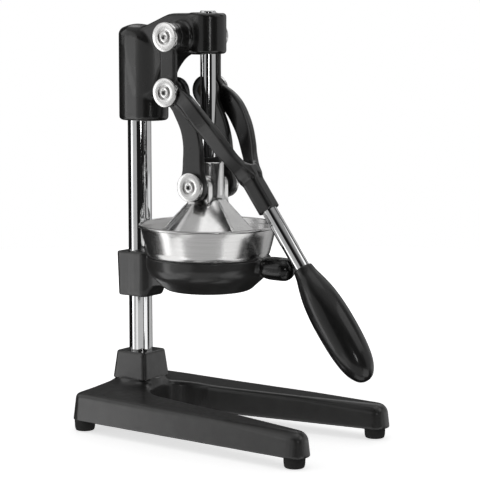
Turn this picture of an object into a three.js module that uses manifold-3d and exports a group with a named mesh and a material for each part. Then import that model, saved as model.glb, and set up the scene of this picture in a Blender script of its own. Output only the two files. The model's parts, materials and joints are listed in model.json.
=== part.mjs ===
// Lever-operated citrus press: a cast base with two forward legs, a column, a cast head with a guide rod,
// and a forked lever whose two side links drive a sliding press dome down over a strainer cone and bowl.
// Millimetres, +Z up, +X from the column towards the handle. Left is +Y, right is -Y.
// The origin is on the surface the feet stand on, under the middle of the whole object.

import * as THREE from 'three';
import { mergeVertices } from 'three/addons/utils/BufferGeometryUtils.js';
import Module from 'manifold-3d';

const wasm = await Module();
wasm.setup();

// ---------------------------------------------------------------------------------------------------
// Driving dimensions. X values are counted from the column axis.
// ---------------------------------------------------------------------------------------------------
const COLUMN_X = -127;
const GAP = 0.3;
const SIDES = { left: 1, right: -1 };

const FOOT = { height: 11, radius: 11, rearX: -21, rearY: 70, frontX: 248, frontY: 76 };
const BASE = {
  rearX: -34, frontX: 263, rearY: 81, outerY: 90, innerY: 63, topZ: 37, rearCorner: 14, tipCorner: 13,
  tipReach: 18, gapX: 58, gapR: 33, humpR: 84, humpZ: 46, rearRise: 2.6, edge: 6, boltPocketR: 17,
  boltPocketZ: 20,
};
const SOCKET = { bottomZ: 48, topZ: 78, bottomHalf: 22.5, topHalf: 19.3, corner: 4, pedestalR: 24 };
const COLUMN = { radius: 12.5, bore: 10, bottomZ: 25, topZ: 410 };
const COLUMN_BOLT = { radius: 4, headR: 8, headZ: 14, headHeight: 4, tipZ: 42 };

const ROD_X = 90;
const ROD = { radius: 8, bottomZ: 256, topZ: 440 };
const HEAD = {
  sleeveR: 21.3, sleeveStretch: 12, bottomZ: 325, shoulderZ: 419, capZ: 426,
  armHalfY: 17, armTopZ: 437.5, bossR: 19, bossBottomZ: 396, pivotBossR: 14.5,
  screwZ: 350, rodScrewZ: 417,
};
const BRACKET = {
  half: 17.8, topHalf: 18.9, bottomZ: 138, topZ: 185.5, ringTopZ: 186.5, ringR: 65, ringBandZ: 176,
  ringFootR: 47, ringFootZ: 151.5, ringWall: 3.2, holeR: 29, seatR: 62.9, neckR: 6.5, screwZ: 161,
};
const BUMPER = { radius: 12, tailX: 160, centreX: 184.2, z: 180, studR: 2.5, studDepth: 12, studTail: 4 };
const BOWL = { rimR: 73, rimZ: 220.5, wall: 1.2, spoutR: 24, spoutZ: 152 };
const CONE = { flangeR: 52, flangeZ: 176, rootR: 37, tipZ: 231, ribs: 12 };

// The slider-crank: the lever turns at LEVER_PIVOT, the links join it at LINK_PIVOT and end at DOME_PIVOT.
const LEVER_PIVOT = { x: 68.2, z: 413.5 };
const CRANK = 56.2;
const LINK_PIVOT = { x: LEVER_PIVOT.x, z: LEVER_PIVOT.z - CRANK };
const DOME_PIVOT = { x: ROD_X, z: 260.6 };
const LEVER_TILT = 0.944;

const EYE = { radius: 14.5, boreR: 7.3, bushR: 7, bushBore: 3.3 };
const WASHER = { radius: 15, thick: 4.3, recessR: 8, recessDepth: 3, hole: 3.4 };
const SCREW = { shankR: 3, headR: 5.6, headDepth: 2.7, socketR: 2.4, socketDepth: 2.2 };
const SET_SCREW_R = 3;
const YOKE_Y = { inner: 34.5, outer: 41.7 };
const LINK_Y = { inner: 22, outer: 29.7 };
const DOME_EAR = { radius: 13, halfY: 18.2, spacerR: 9, spacerY: 21.7 };
const DOME = { hubR: 16.5, hubTopZ: 285.5, neckZ: 247, skirtR: 51, skirtZ: 208, bottomZ: 196, wall: 4 };
const SEAL = { radius: 12, topZ: 289.5 };

// Along the lever, from its pivot: socket end, bare bar, grip. AXIS_Z is the bar's offset in lever axes.
const LEVER = {
  socketStart: 150, socketEnd: 199, socketHalf: 9.5, axisZ: -22.7, gripStart: 268, gripEnd: 399,
};
const BAR = { radius: 8, tenonR: 5, tenonStart: 165, tenonEnd: 340 };
const LINK_EYE_R = 15;
const LEVER_SCREW_TIP = 16;
const DOME_SCREW_TIP = 15;

// ---------------------------------------------------------------------------------------------------
// Materials
// ---------------------------------------------------------------------------------------------------
function finish(color, roughness, metalness) {
  return new THREE.MeshStandardMaterial({ color, roughness, metalness });
}

const ENAMEL = finish(0x17181a, 0.28, 0.0);
const CHROME = finish(0xd9dbdd, 0.1, 1.0);
const BRIGHT_STEEL = finish(0xc9cbcc, 0.25, 1.0);
const STAINLESS = finish(0xc2c4c5, 0.3, 1.0);
const ALUMINIUM = finish(0xb4b6b8, 0.32, 1.0);
const BRONZE = finish(0xa9804a, 0.4, 1.0);
const GRIP_PLASTIC = finish(0x141414, 0.42, 0.0);
const RUBBER = finish(0x121212, 0.8, 0.0);
const ZINC = finish(0x9a9c9e, 0.4, 1.0);

// ---------------------------------------------------------------------------------------------------
// Geometry helpers
// ---------------------------------------------------------------------------------------------------

// A closed solid for joining and cutting, with its faces turned outwards.
function solidOf(geometry) {
  const bare = geometry.clone();
  bare.deleteAttribute('normal');
  bare.deleteAttribute('uv');
  const merged = mergeVertices(bare, 1e-4);
  const positions = merged.attributes.position.array;
  const corners = Uint32Array.from(merged.index.array);
  const whole = keepRealTriangles(corners);
  if (signedVolume(positions, whole) < 0) {
    flipTriangles(whole);
  }
  const mesh = new wasm.Mesh({ numProp: 3, vertProperties: Float32Array.from(positions), triVerts: whole });
  return new wasm.Manifold(mesh);
}

function keepRealTriangles(corners) {
  const kept = [];
  for (let i = 0; i < corners.length; i += 3) {
    const [a, b, c] = corners.subarray(i, i + 3);
    if (a !== b && b !== c && c !== a) {
      kept.push(a, b, c);
    }
  }
  return Uint32Array.from(kept);
}

function signedVolume(positions, corners) {
  const point = (i) => new THREE.Vector3().fromArray(positions, 3 * i);
  let volume = 0;
  for (let i = 0; i < corners.length; i += 3) {
    const [a, b, c] = [point(corners[i]), point(corners[i + 1]), point(corners[i + 2])];
    volume += a.dot(b.cross(c)) / 6;
  }
  return volume;
}

function flipTriangles(corners) {
  for (let i = 0; i < corners.length; i += 3) {
    [corners[i], corners[i + 1]] = [corners[i + 1], corners[i]];
  }
}

function geometryOf(solid) {
  const mesh = solid.getMesh();
  const geometry = new THREE.BufferGeometry();
  geometry.setAttribute('position', new THREE.BufferAttribute(Float32Array.from(mesh.vertProperties), 3));
  geometry.setIndex(new THREE.BufferAttribute(Uint32Array.from(mesh.triVerts), 1));
  geometry.computeVertexNormals();
  return geometry;
}

const join = (...geometries) => geometries.map(solidOf).reduce((whole, next) => whole.add(next));

function cut(solid, ...tools) {
  return tools.map(solidOf).reduce((left, tool) => left.subtract(tool), solid);
}

// A body turned about the Z axis from a list of [radius, z] points, bottom to top or closed on itself.
function turned(profile, segments = 20) {
  const points = profile.map(([radius, z]) => new THREE.Vector2(radius, z));
  return new THREE.LatheGeometry(points, segments).rotateX(Math.PI / 2);
}

// A tube or ring: outer radius, inner radius, from one height to another.
function ring(outer, inner, bottom, top, segments = 20) {
  const profile = [[inner, bottom], [outer, bottom], [outer, top], [inner, top], [inner, bottom]];
  return turned(profile, segments);
}

function cylinder(radius, bottom, top, segments = 20) {
  const height = top - bottom;
  const shape = new THREE.CylinderGeometry(radius, radius, height, segments).rotateX(Math.PI / 2);
  return shape.translate(0, 0, (top + bottom) / 2);
}

// A cylinder along Y through (x, z), between two Y values.
function crossCylinder(radius, x, z, fromY, toY, segments = 24) {
  const height = Math.abs(toY - fromY);
  return new THREE.CylinderGeometry(radius, radius, height, segments).translate(x, (fromY + toY) / 2, z);
}

// A cylinder along X through (y, z), between two X values.
function lengthCylinder(radius, y, z, fromX, toX, segments = 16) {
  const shape = new THREE.CylinderGeometry(radius, radius, toX - fromX, segments).rotateZ(-Math.PI / 2);
  return shape.translate((fromX + toX) / 2, y, z);
}

function block(fromX, toX, fromY, toY, fromZ, toZ) {
  const box = new THREE.BoxGeometry(toX - fromX, toY - fromY, toZ - fromZ);
  return box.translate((fromX + toX) / 2, (fromY + toY) / 2, (fromZ + toZ) / 2);
}

// A closed outline through [x, y, cornerRadius] corners, each corner rounded by a curve.
function roundedOutline(corners) {
  const shape = new THREE.Shape();
  corners.forEach(([x, y, radius], i) => {
    const corner = new THREE.Vector2(x, y);
    const before = new THREE.Vector2(...corners.at(i - 1).slice(0, 2));
    const after = new THREE.Vector2(...corners[(i + 1) % corners.length].slice(0, 2));
    const start = before.sub(corner).setLength(radius).add(corner);
    const end = after.sub(corner).setLength(radius).add(corner);
    if (i === 0) {
      shape.moveTo(start.x, start.y);
    } else {
      shape.lineTo(start.x, start.y);
    }
    shape.quadraticCurveTo(x, y, end.x, end.y);
  });
  shape.closePath();
  return shape;
}

// A band outline: half widths on each side of a smooth centre line through [x, y, halfWidth] stations.
function bandOutline(stations, steps) {
  const centre = new THREE.SplineCurve(stations.map(([x, y]) => new THREE.Vector2(x, y)));
  const width = new THREE.SplineCurve(stations.map(([, , half], i) => new THREE.Vector2(i, half)));
  const near = [];
  const far = [];
  for (let i = 0; i <= steps; i += 1) {
    const at = i / steps;
    const point = centre.getPoint(at);
    const across = centre.getTangent(at).rotateAround(new THREE.Vector2(), Math.PI / 2);
    const half = width.getPoint(at).y;
    near.push(point.clone().addScaledVector(across, half));
    far.unshift(point.clone().addScaledVector(across, -half));
  }
  return new THREE.Shape([...near, ...far]);
}

function extruded(shape, depth, curveSegments = 5) {
  return new THREE.ExtrudeGeometry(shape, { depth, bevelEnabled: false, curveSegments });
}

function softExtruded(shape, depth, edge, curveSegments = 5) {
  const bevel = { bevelSize: edge, bevelThickness: edge, bevelOffset: -edge, bevelSegments: 1 };
  const body = new THREE.ExtrudeGeometry(shape, { ...bevel, depth: depth - 2 * edge, curveSegments });
  return body.translate(0, 0, edge);
}

// An outline drawn in X and Z, extruded along Y between two Y values.
function sideExtruded(shape, fromY, toY, edge = 0) {
  const depth = toY - fromY;
  const body = edge > 0 ? softExtruded(shape, depth, edge) : extruded(shape, depth);
  return body.rotateX(Math.PI / 2).translate(0, toY, 0);
}

// Draws a prism along Z in to scaleTop at its top, leaving its bottom as it is.
function tapered(geometry, bottom, top, scaleTop) {
  const places = geometry.attributes.position;
  for (let i = 0; i < places.count; i += 1) {
    const share = (places.getZ(i) - bottom) / (top - bottom);
    const scale = 1 + (scaleTop - 1) * share;
    places.setXY(i, places.getX(i) * scale, places.getY(i) * scale);
  }
  return geometry;
}

// Lifts the top of the plate towards the rear, leaving its underside flat.
function raisedAtRear(geometry) {
  const places = geometry.attributes.position;
  const { topZ, frontX, rearRise } = BASE;
  for (let i = 0; i < places.count; i += 1) {
    const share = (places.getZ(i) - FOOT.height) / (topZ - FOOT.height);
    const lift = rearRise * (1 - places.getX(i) / frontX);
    places.setZ(i, places.getZ(i) + share * lift);
  }
  return geometry;
}

function square(half, corner) {
  const ends = [[-half, -half], [half, -half], [half, half], [-half, half]];
  return roundedOutline(ends.map(([x, y]) => [x, y, corner]));
}

function place(parent, name, geometry, material, position = [0, 0, 0], rotation = [0, 0, 0]) {
  const mesh = new THREE.Mesh(geometry, material);
  mesh.name = name;
  mesh.position.set(...position);
  mesh.rotation.set(...rotation);
  parent.add(mesh);
  return mesh;
}

function subGroup(parent, x, y, z) {
  const group = new THREE.Group();
  group.position.set(x, y, z);
  parent.add(group);
  return group;
}

// ---------------------------------------------------------------------------------------------------
// Base, feet and column
// ---------------------------------------------------------------------------------------------------
const FEET = Object.entries(SIDES).flatMap(([side, sign]) => [
  { name: `rear_${side}`, x: FOOT.rearX, y: sign * FOOT.rearY },
  { name: `front_${side}`, x: FOOT.frontX, y: sign * FOOT.frontY },
]);

function baseOutline() {
  const { rearX, frontX, rearY, outerY, innerY, rearCorner, tipCorner, tipReach, gapX, gapR } = BASE;
  const slope = Math.atan2(innerY - gapR, frontX - gapX);
  const shape = new THREE.Shape();
  shape.moveTo(rearX + rearCorner, -rearY);
  shape.lineTo(frontX - tipReach, -outerY);
  shape.quadraticCurveTo(frontX, -outerY, frontX, -outerY + tipCorner);
  shape.quadraticCurveTo(frontX, -innerY, frontX - tipCorner, -innerY);
  shape.absarc(gapX, 0, gapR, -Math.PI / 2 + slope, Math.PI / 2 - slope, true);
  shape.lineTo(frontX - tipCorner, innerY);
  shape.quadraticCurveTo(frontX, innerY, frontX, outerY - tipCorner);
  shape.quadraticCurveTo(frontX, outerY, frontX - tipReach, outerY);
  shape.lineTo(rearX + rearCorner, rearY);
  shape.quadraticCurveTo(rearX, rearY, rearX, rearY - rearCorner);
  shape.lineTo(rearX, -rearY + rearCorner);
  shape.quadraticCurveTo(rearX, -rearY, rearX + rearCorner, -rearY);
  return shape;
}

function baseCasting() {
  const { topZ, humpR, humpZ, rearRise, edge, boltPocketR, boltPocketZ } = BASE;
  const { bottomZ: socketZ, pedestalR } = SOCKET;
  const under = FOOT.height;
  const flat = softExtruded(baseOutline(), topZ - under + edge, edge, 5).translate(0, 0, under - edge);
  const plate = raisedAtRear(flat);
  const rearZ = topZ + rearRise;
  const hump = turned([[0, rearZ - 6], [humpR, rearZ - 3], [45, rearZ + 2.5], [28, humpZ], [0, humpZ]], 28);
  const footprint = extruded(baseOutline(), humpZ - under + 1, 5).translate(0, 0, under);
  const rise = solidOf(hump).intersect(solidOf(footprint));
  const pedestal = turned([
    [0, topZ], [pedestalR + 8, topZ], [pedestalR + 4, humpZ], [pedestalR, socketZ], [0, socketZ],
  ]);
  const socketHeight = SOCKET.topZ - SOCKET.bottomZ;
  const prism = extruded(square(SOCKET.bottomHalf, SOCKET.corner), socketHeight, 3);
  const socket = tapered(prism, 0, socketHeight, SOCKET.topHalf / SOCKET.bottomHalf).translate(0, 0, socketZ);
  const body = join(plate, pedestal, socket).add(rise);
  const tools = [
    block(-200, 400, -200, 200, under - 30, under),
    cylinder(COLUMN.radius + GAP, COLUMN.bottomZ, SOCKET.topZ + 1),
    cylinder(COLUMN_BOLT.radius + GAP, under, COLUMN.bottomZ + 1, 16),
    cylinder(boltPocketR, under - 1, boltPocketZ),
  ];
  for (const foot of FEET) {
    tools.push(cylinder(2.4, under - 1, under + 13, 8).translate(foot.x, foot.y, 0));
  }
  return geometryOf(cut(body, ...tools));
}

function rubberFoot() {
  const { radius, height } = FOOT;
  const top = height - GAP;
  return turned([
    [2.4, 4.5], [5.6, 4.5], [5.6, 0], [radius - 1.4, 0], [radius - 0.5, 1], [radius, top], [2.4, top],
    [2.4, 4.5],
  ], 16);
}

function footScrew() {
  return turned([[0, 1.5], [3, 1.5], [5, 3.2], [5, 4.2], [2.1, 4.2], [2.1, 24], [0, 24]], 8);
}

function addBase(parent) {
  place(parent, 'base_casting', baseCasting(), ENAMEL);
  for (const foot of FEET) {
    place(parent, `foot_${foot.name}`, rubberFoot(), RUBBER, [foot.x, foot.y, 0]);
    place(parent, `foot_screw_${foot.name}`, footScrew(), ZINC, [foot.x, foot.y, 0]);
  }
}

function addColumn(parent) {
  const { radius, bore, bottomZ, topZ } = COLUMN;
  place(parent, 'column_tube', ring(radius, bore, bottomZ + GAP, topZ - GAP), CHROME);
  const plug = ring(bore - GAP, COLUMN_BOLT.radius + GAP, bottomZ + GAP, COLUMN_BOLT.tipZ, 16);
  place(parent, 'column_plug', plug, ZINC);
  const { radius: shank, headR, headZ, headHeight, tipZ } = COLUMN_BOLT;
  const head = new THREE.CylinderGeometry(headR, headR, headHeight, 6).rotateX(Math.PI / 2);
  const headMiddle = headZ + headHeight / 2;
  const bolt = join(head.translate(0, 0, headMiddle), cylinder(shank, headMiddle, tipZ, 16));
  place(parent, 'column_bolt', geometryOf(bolt), ZINC);
  const washerZ = headZ + headHeight + GAP;
  place(parent, 'column_bolt_washer', ring(13, shank + GAP, washerZ, BASE.boltPocketZ - GAP, 16), ZINC);
}

// ---------------------------------------------------------------------------------------------------
// Head casting, guide rod and set screws
// ---------------------------------------------------------------------------------------------------
function stadium(radius, stretch) {
  const shape = new THREE.Shape();
  shape.absarc(0, 0, radius, Math.PI / 2, 1.5 * Math.PI, false);
  shape.absarc(stretch, 0, radius, -Math.PI / 2, Math.PI / 2, false);
  shape.closePath();
  return shape;
}

function headArmOutline() {
  const shape = new THREE.Shape();
  shape.moveTo(4, 418);
  shape.quadraticCurveTo(22, 424, 34, 430);
  shape.quadraticCurveTo(48, HEAD.armTopZ, 64, HEAD.armTopZ);
  shape.lineTo(ROD_X, HEAD.armTopZ);
  shape.lineTo(ROD_X, HEAD.bossBottomZ);
  shape.lineTo(64, HEAD.bossBottomZ);
  shape.quadraticCurveTo(36, 392, 31, 356);
  shape.lineTo(4, 356);
  shape.closePath();
  return shape;
}

function headCasting() {
  const { sleeveR, sleeveStretch, bottomZ, shoulderZ, capZ, armHalfY, armTopZ, bossR, bossBottomZ } = HEAD;
  const screwHoleR = SET_SCREW_R + GAP;
  const sleeve = softExtruded(stadium(sleeveR, sleeveStretch), shoulderZ + 2 - bottomZ, 3, 7);
  sleeve.translate(0, 0, bottomZ);
  const cap = turned([[0, shoulderZ - 4], [19, shoulderZ], [14, capZ - 2], [7, capZ - 0.4], [0, capZ]], 20);
  const arm = sideExtruded(headArmOutline(), -armHalfY, armHalfY, 4);
  const boss = turned([
    [0, bossBottomZ], [bossR - 2.5, bossBottomZ], [bossR, bossBottomZ + 2.5],
    [bossR, armTopZ - 3], [bossR - 3, armTopZ], [0, armTopZ],
  ], 24).translate(ROD_X, 0, 0);
  const pivotY = YOKE_Y.inner - GAP;
  const pivot = crossCylinder(HEAD.pivotBossR, LEVER_PIVOT.x, LEVER_PIVOT.z, -pivotY, pivotY);
  const tools = [
    cylinder(COLUMN.radius + GAP, bottomZ - 1, COLUMN.topZ),
    cylinder(ROD.radius + GAP, bossBottomZ - 1, armTopZ + 1).translate(ROD_X, 0, 0),
    lengthCylinder(screwHoleR, 0, HEAD.screwZ, -sleeveR - 4, -10, 12),
    crossCylinder(screwHoleR, ROD_X, HEAD.rodScrewZ, 7, bossR + 6, 12),
  ];
  for (const sign of Object.values(SIDES)) {
    const threadY = [sign * (LEVER_SCREW_TIP - 2), sign * (YOKE_Y.inner + 1)];
    tools.push(crossCylinder(SCREW.shankR + GAP, LEVER_PIVOT.x, LEVER_PIVOT.z, ...threadY, 12));
  }
  return geometryOf(cut(join(sleeve, cap, arm, boss, pivot), ...tools));
}

// A headless set screw with a hexagon socket, along +Z from its tip.
function setScrew(length) {
  const body = turned([[0, 0], [1.8, 0], [SET_SCREW_R, 1.2], [SET_SCREW_R, length], [0, length]], 12);
  const socket = new THREE.CylinderGeometry(1.5, 1.5, 4, 6).rotateX(Math.PI / 2).translate(0, 0, length);
  return geometryOf(cut(join(body), socket));
}

function addHead(parent) {
  place(parent, 'head_casting', headCasting(), ENAMEL);
  const { radius, bottomZ, topZ } = ROD;
  const rod = turned([
    [0, bottomZ], [radius - 1, bottomZ], [radius, bottomZ + 1],
    [radius, topZ - 1.2], [radius - 1.2, topZ], [0, topZ],
  ]);
  place(parent, 'guide_rod', rod, CHROME, [ROD_X, 0, 0]);
  const rearScrewX = -COLUMN.radius - GAP;
  place(parent, 'head_set_screw', setScrew(8), ZINC, [rearScrewX, 0, HEAD.screwZ], [0, -Math.PI / 2, 0]);
  const rodScrewAt = [ROD_X, ROD.radius + GAP, HEAD.rodScrewZ];
  place(parent, 'rod_set_screw', setScrew(9.5), ZINC, rodScrewAt, [-Math.PI / 2, 0, 0]);
}

// ---------------------------------------------------------------------------------------------------
// Bowl bracket, bumper, bowl and strainer cone
// ---------------------------------------------------------------------------------------------------
const RING_SEAT = [
  [BRACKET.holeR, BRACKET.ringFootZ + BRACKET.ringWall],
  [BRACKET.ringFootR - 4, BRACKET.ringFootZ + BRACKET.ringWall + 2.5],
  [BRACKET.seatR - 0.4, BRACKET.ringBandZ],
];

function ringProfile() {
  const { ringTopZ, ringR, ringBandZ, ringFootR, ringFootZ, holeR, seatR } = BRACKET;
  return [
    RING_SEAT[0], [holeR, ringFootZ], [ringFootR - 5, ringFootZ], [ringFootR, ringFootZ + 1.5],
    [ringR - 3, ringBandZ - 7], [ringR, ringBandZ], [ringR, ringTopZ - 1], [ringR - 1, ringTopZ],
    [seatR, ringTopZ], ...RING_SEAT.toReversed(),
  ];
}

function bracketCasting() {
  const { half, topHalf, bottomZ, topZ, ringTopZ, ringFootZ, seatR, ringR, neckR, holeR, screwZ } = BRACKET;
  const height = topZ - bottomZ;
  const collar = tapered(extruded(square(half, 5), height, 3), 0, height, topHalf / half);
  collar.translate(0, 0, bottomZ);
  const web = sideExtruded(roundedOutline([
    [8, bottomZ + 6, 2], [24, ringFootZ - 2, 8], [46, ringFootZ + 1, 2], [36, ringTopZ - 1, 2],
    [8, topZ - 1, 2],
  ]), -13.5, 13.5);
  const ringBody = turned(ringProfile(), 32).translate(ROD_X, 0, 0);
  const inside = turned([
    [0, bottomZ], [holeR, bottomZ], ...RING_SEAT, [seatR, ringTopZ + 5], [0, ringTopZ + 5],
  ], 32).translate(ROD_X, 0, 0);
  const webOnly = cut(join(collar, web), inside);
  const neck = lengthCylinder(neckR, 0, BUMPER.z, ROD_X + ringR - 2, BUMPER.tailX - GAP);
  const body = webOnly.add(solidOf(ringBody)).add(solidOf(neck));
  const { studR, studTail, tailX } = BUMPER;
  const stud = lengthCylinder(studR + GAP, 0, BUMPER.z, tailX - studTail, tailX + 1, 12);
  const screwHole = lengthCylinder(SET_SCREW_R + GAP, 0, screwZ, -half - 3, -10, 12);
  const bore = cylinder(COLUMN.radius + GAP, bottomZ - 1, topZ + 1);
  return geometryOf(cut(body, bore, screwHole, stud));
}

function bumper() {
  const { radius, tailX, centreX, studR, studDepth } = BUMPER;
  const socketR = studR + GAP;
  const profile = [[0, studDepth], [socketR, studDepth], [socketR, 0], [radius - 3, 0], [radius - 0.6, 3]];
  const domeSteps = 4;
  for (let i = 0; i < domeSteps; i += 1) {
    const angle = (Math.PI / 2) * (i / domeSteps);
    profile.push([radius * Math.cos(angle), centreX - tailX + radius * Math.sin(angle)]);
  }
  profile.push([0, centreX - tailX + radius]);
  return turned(profile, 16);
}

function bowl() {
  const { rimR, rimZ, wall, spoutR, spoutZ } = BOWL;
  const floorZ = 157;
  const spout = [[spoutR, spoutZ], [spoutR, floorZ]];
  const body = [[42, floorZ + 1.5], [59, 174.5], [62.1, 178.5], [62.4, 187], [64.6, 191.5], [70, 214]];
  const lip = [[rimR - 2.6, rimZ - 3.6], [rimR - 0.4, rimZ - 3], [rimR, rimZ - 1.2], [rimR - 1, rimZ]];
  const inside = body.toReversed().map(([radius, z]) => [radius - wall, z + wall / 2]);
  return turned([
    ...spout, ...body, ...lip, [rimR - 3.6, rimZ - 0.4], ...inside,
    [spoutR - wall, floorZ + wall], [spoutR - wall, spoutZ], [spoutR, spoutZ],
  ], 36);
}

// The reamer is a ribbed hollow cone on a rimmed flange that rests in the bowl.
function strainerCone() {
  const { flangeR, flangeZ, rootR, tipZ, ribs } = CONE;
  const wall = 1.5;
  const skin = turned([
    [0, tipZ - wall], [6, tipZ - 3 - wall], [rootR - wall - 2, flangeZ + 8], [rootR - wall, flangeZ],
    [rootR, flangeZ - 4], [flangeR, flangeZ - 1], [flangeR, flangeZ + 4], [flangeR - wall, flangeZ + 4],
    [flangeR - wall, flangeZ + 0.5], [rootR + 2, flangeZ - 2], [rootR, flangeZ + 6], [7, tipZ - 2], [0, tipZ],
  ], 32);
  let body = solidOf(skin);
  const height = tipZ - flangeZ - 10;
  for (let i = 0; i < ribs; i += 1) {
    const rib = tapered(block(-1, 1, -1, 1, 0, height), 0, height, 0.4);
    rib.rotateY(-Math.atan2(rootR - 8, height)).translate(rootR - 0.5, 0, flangeZ + 4);
    body = body.add(solidOf(rib.rotateZ((2 * Math.PI * i) / ribs)));
  }
  return geometryOf(body);
}

function addBowlGroup(parent) {
  place(parent, 'bracket_casting', bracketCasting(), ENAMEL);
  const screwX = -COLUMN.radius - GAP;
  const { tailX, z, studR, studDepth, studTail } = BUMPER;
  place(parent, 'bracket_set_screw', setScrew(5.5), ZINC, [screwX, 0, BRACKET.screwZ], [0, -Math.PI / 2, 0]);
  place(parent, 'lever_bumper', bumper(), RUBBER, [tailX, 0, z], [0, Math.PI / 2, 0]);
  const studX = [tailX - studTail + GAP, tailX + studDepth - GAP];
  place(parent, 'bumper_stud', lengthCylinder(studR, 0, z, ...studX, 12), ZINC);
  place(parent, 'bowl', bowl(), STAINLESS, [ROD_X, 0, 0]);
  place(parent, 'strainer_cone', strainerCone(), STAINLESS, [ROD_X, 0, 0]);
}

// ---------------------------------------------------------------------------------------------------
// Pivot hardware: built along Z, outwards from the object's middle plane
// ---------------------------------------------------------------------------------------------------
function washer(seat) {
  const { radius, thick, recessR, recessDepth, hole } = WASHER;
  const face = seat + thick;
  return turned([
    [hole, seat], [radius, seat], [radius, face - 0.8], [radius - 0.8, face],
    [recessR, face], [recessR - 1.6, face - recessDepth], [hole, face - recessDepth], [hole, seat],
  ], 20);
}

function socketScrew(seat, tip) {
  const { shankR, headR, headDepth, socketR, socketDepth } = SCREW;
  const under = seat + WASHER.thick - WASHER.recessDepth + GAP;
  const face = under + headDepth;
  const body = turned([
    [0, tip], [shankR, tip], [shankR, under], [headR, under], [headR, face - 0.5], [headR - 0.5, face],
    [0, face],
  ], 16);
  const socket = new THREE.CylinderGeometry(socketR, socketR, 2 * socketDepth, 6).rotateX(Math.PI / 2);
  return geometryOf(cut(join(body), socket.translate(0, 0, face)));
}

// A washer and a socket screw on each side of one pivot.
function addPivotPair(parent, name, pivot, seat, tip) {
  for (const [side, sign] of Object.entries(SIDES)) {
    const axis = subGroup(parent, pivot.x, 0, pivot.z);
    axis.rotation.x = (-sign * Math.PI) / 2;
    place(axis, `${name}_washer_${side}`, washer(seat), BRIGHT_STEEL);
    place(axis, `${name}_screw_${side}`, socketScrew(seat, tip), BRIGHT_STEEL);
  }
}

// A plain bush in an eye, on each side.
function addBushPair(parent, name, pivot, from, to) {
  for (const [side, sign] of Object.entries(SIDES)) {
    const axis = subGroup(parent, pivot.x, 0, pivot.z);
    axis.rotation.x = (-sign * Math.PI) / 2;
    place(axis, `${name}_${side}`, ring(EYE.bushR, EYE.bushBore, from, to, 16), BRONZE);
  }
}

// ---------------------------------------------------------------------------------------------------
// Lever: forked yoke, bar and grip, in lever axes (X along the lever, Y across, Z in front)
// ---------------------------------------------------------------------------------------------------
const CRANK_LOCAL = { x: CRANK * Math.sin(LEVER_TILT), z: -CRANK * Math.cos(LEVER_TILT) };

// Seen from the side: the short upper arm between the two eyes, then the long lower arm to the socket.
const UPPER_ARM = [
  [0, 0, 10], [CRANK_LOCAL.x / 2, CRANK_LOCAL.z / 2, 9.6], [CRANK_LOCAL.x, CRANK_LOCAL.z, 10],
];
const LOWER_ARM = [
  [CRANK_LOCAL.x, CRANK_LOCAL.z, 10.5], [60, -25.7, 11.5], [74, -21.4, 11], [95, -19.7, 10.1],
  [109, -19.4, 9.4], [125, -20.4, 8.4], [138, -21.3, 7.3], [160, LEVER.axisZ, 9],
];
// Seen from the front: each arm runs straight past the two eyes, bows out, then sweeps in to the socket.
const ARM_PLAN = [
  [-18, 38.1, 3.6], [20, 38.1, 3.6], [48, 38.1, 3.6], [64, 39.2, 4.2], [80, 38.5, 4.8], [96, 34.5, 5],
  [112, 28.6, 5], [128, 21.5, 5], [142, 14, 5.2], [154, 6, 6],
];

function yokeCasting() {
  let arms = null;
  for (const sign of Object.values(SIDES)) {
    const plan = bandOutline(ARM_PLAN.map(([x, y, half]) => [x, sign * y, half]), 14);
    const planBody = solidOf(extruded(plan, 120).translate(0, 0, -80));
    const profiles = [UPPER_ARM, LOWER_ARM].map((line) => sideExtruded(bandOutline(line, 7), -60, 60));
    const eyes = [{ x: 0, z: 0 }, CRANK_LOCAL].map(({ x, z }) => crossCylinder(EYE.radius, x, z, -60, 60));
    const arm = join(...profiles, ...eyes).intersect(planBody);
    const [from, to] = [sign * YOKE_Y.inner, sign * YOKE_Y.outer].sort((a, b) => a - b);
    const pads = [{ x: 0, z: 0 }, CRANK_LOCAL].map(({ x, z }) => crossCylinder(EYE.radius, x, z, from, to));
    const whole = pads.reduce((body, pad) => body.add(solidOf(pad)), arm);
    arms = arms ? arms.add(whole) : whole;
  }
  const socket = softExtruded(square(LEVER.socketHalf, 5.5), LEVER.socketEnd - LEVER.socketStart, 1, 3);
  socket.rotateY(Math.PI / 2).translate(LEVER.socketStart, 0, LEVER.axisZ);
  const tools = [
    crossCylinder(EYE.boreR, 0, 0, -60, 60, 16),
    crossCylinder(SCREW.shankR + GAP, CRANK_LOCAL.x, CRANK_LOCAL.z, -60, 60, 12),
    lengthCylinder(BAR.tenonR + GAP, 0, LEVER.axisZ, BAR.tenonStart - GAP, LEVER.socketEnd + 1),
    block(-40, 64, -YOKE_Y.inner, YOKE_Y.inner, -60, 40),
  ];
  for (const sign of Object.values(SIDES)) {
    const spotFace = [WASHER.radius + 1, CRANK_LOCAL.x, CRANK_LOCAL.z, sign * YOKE_Y.outer, sign * 60];
    tools.push(crossCylinder(...spotFace));
  }
  return geometryOf(cut(arms.add(solidOf(socket)), ...tools));
}

function handleBar() {
  const { radius, tenonR, tenonStart, tenonEnd } = BAR;
  const from = LEVER.socketEnd + GAP;
  const to = LEVER.gripStart + 6;
  return turned([
    [0, tenonStart], [tenonR, tenonStart], [tenonR, from], [radius, from], [radius, to],
    [tenonR, to], [tenonR, tenonEnd], [0, tenonEnd],
  ], 20);
}

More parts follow.
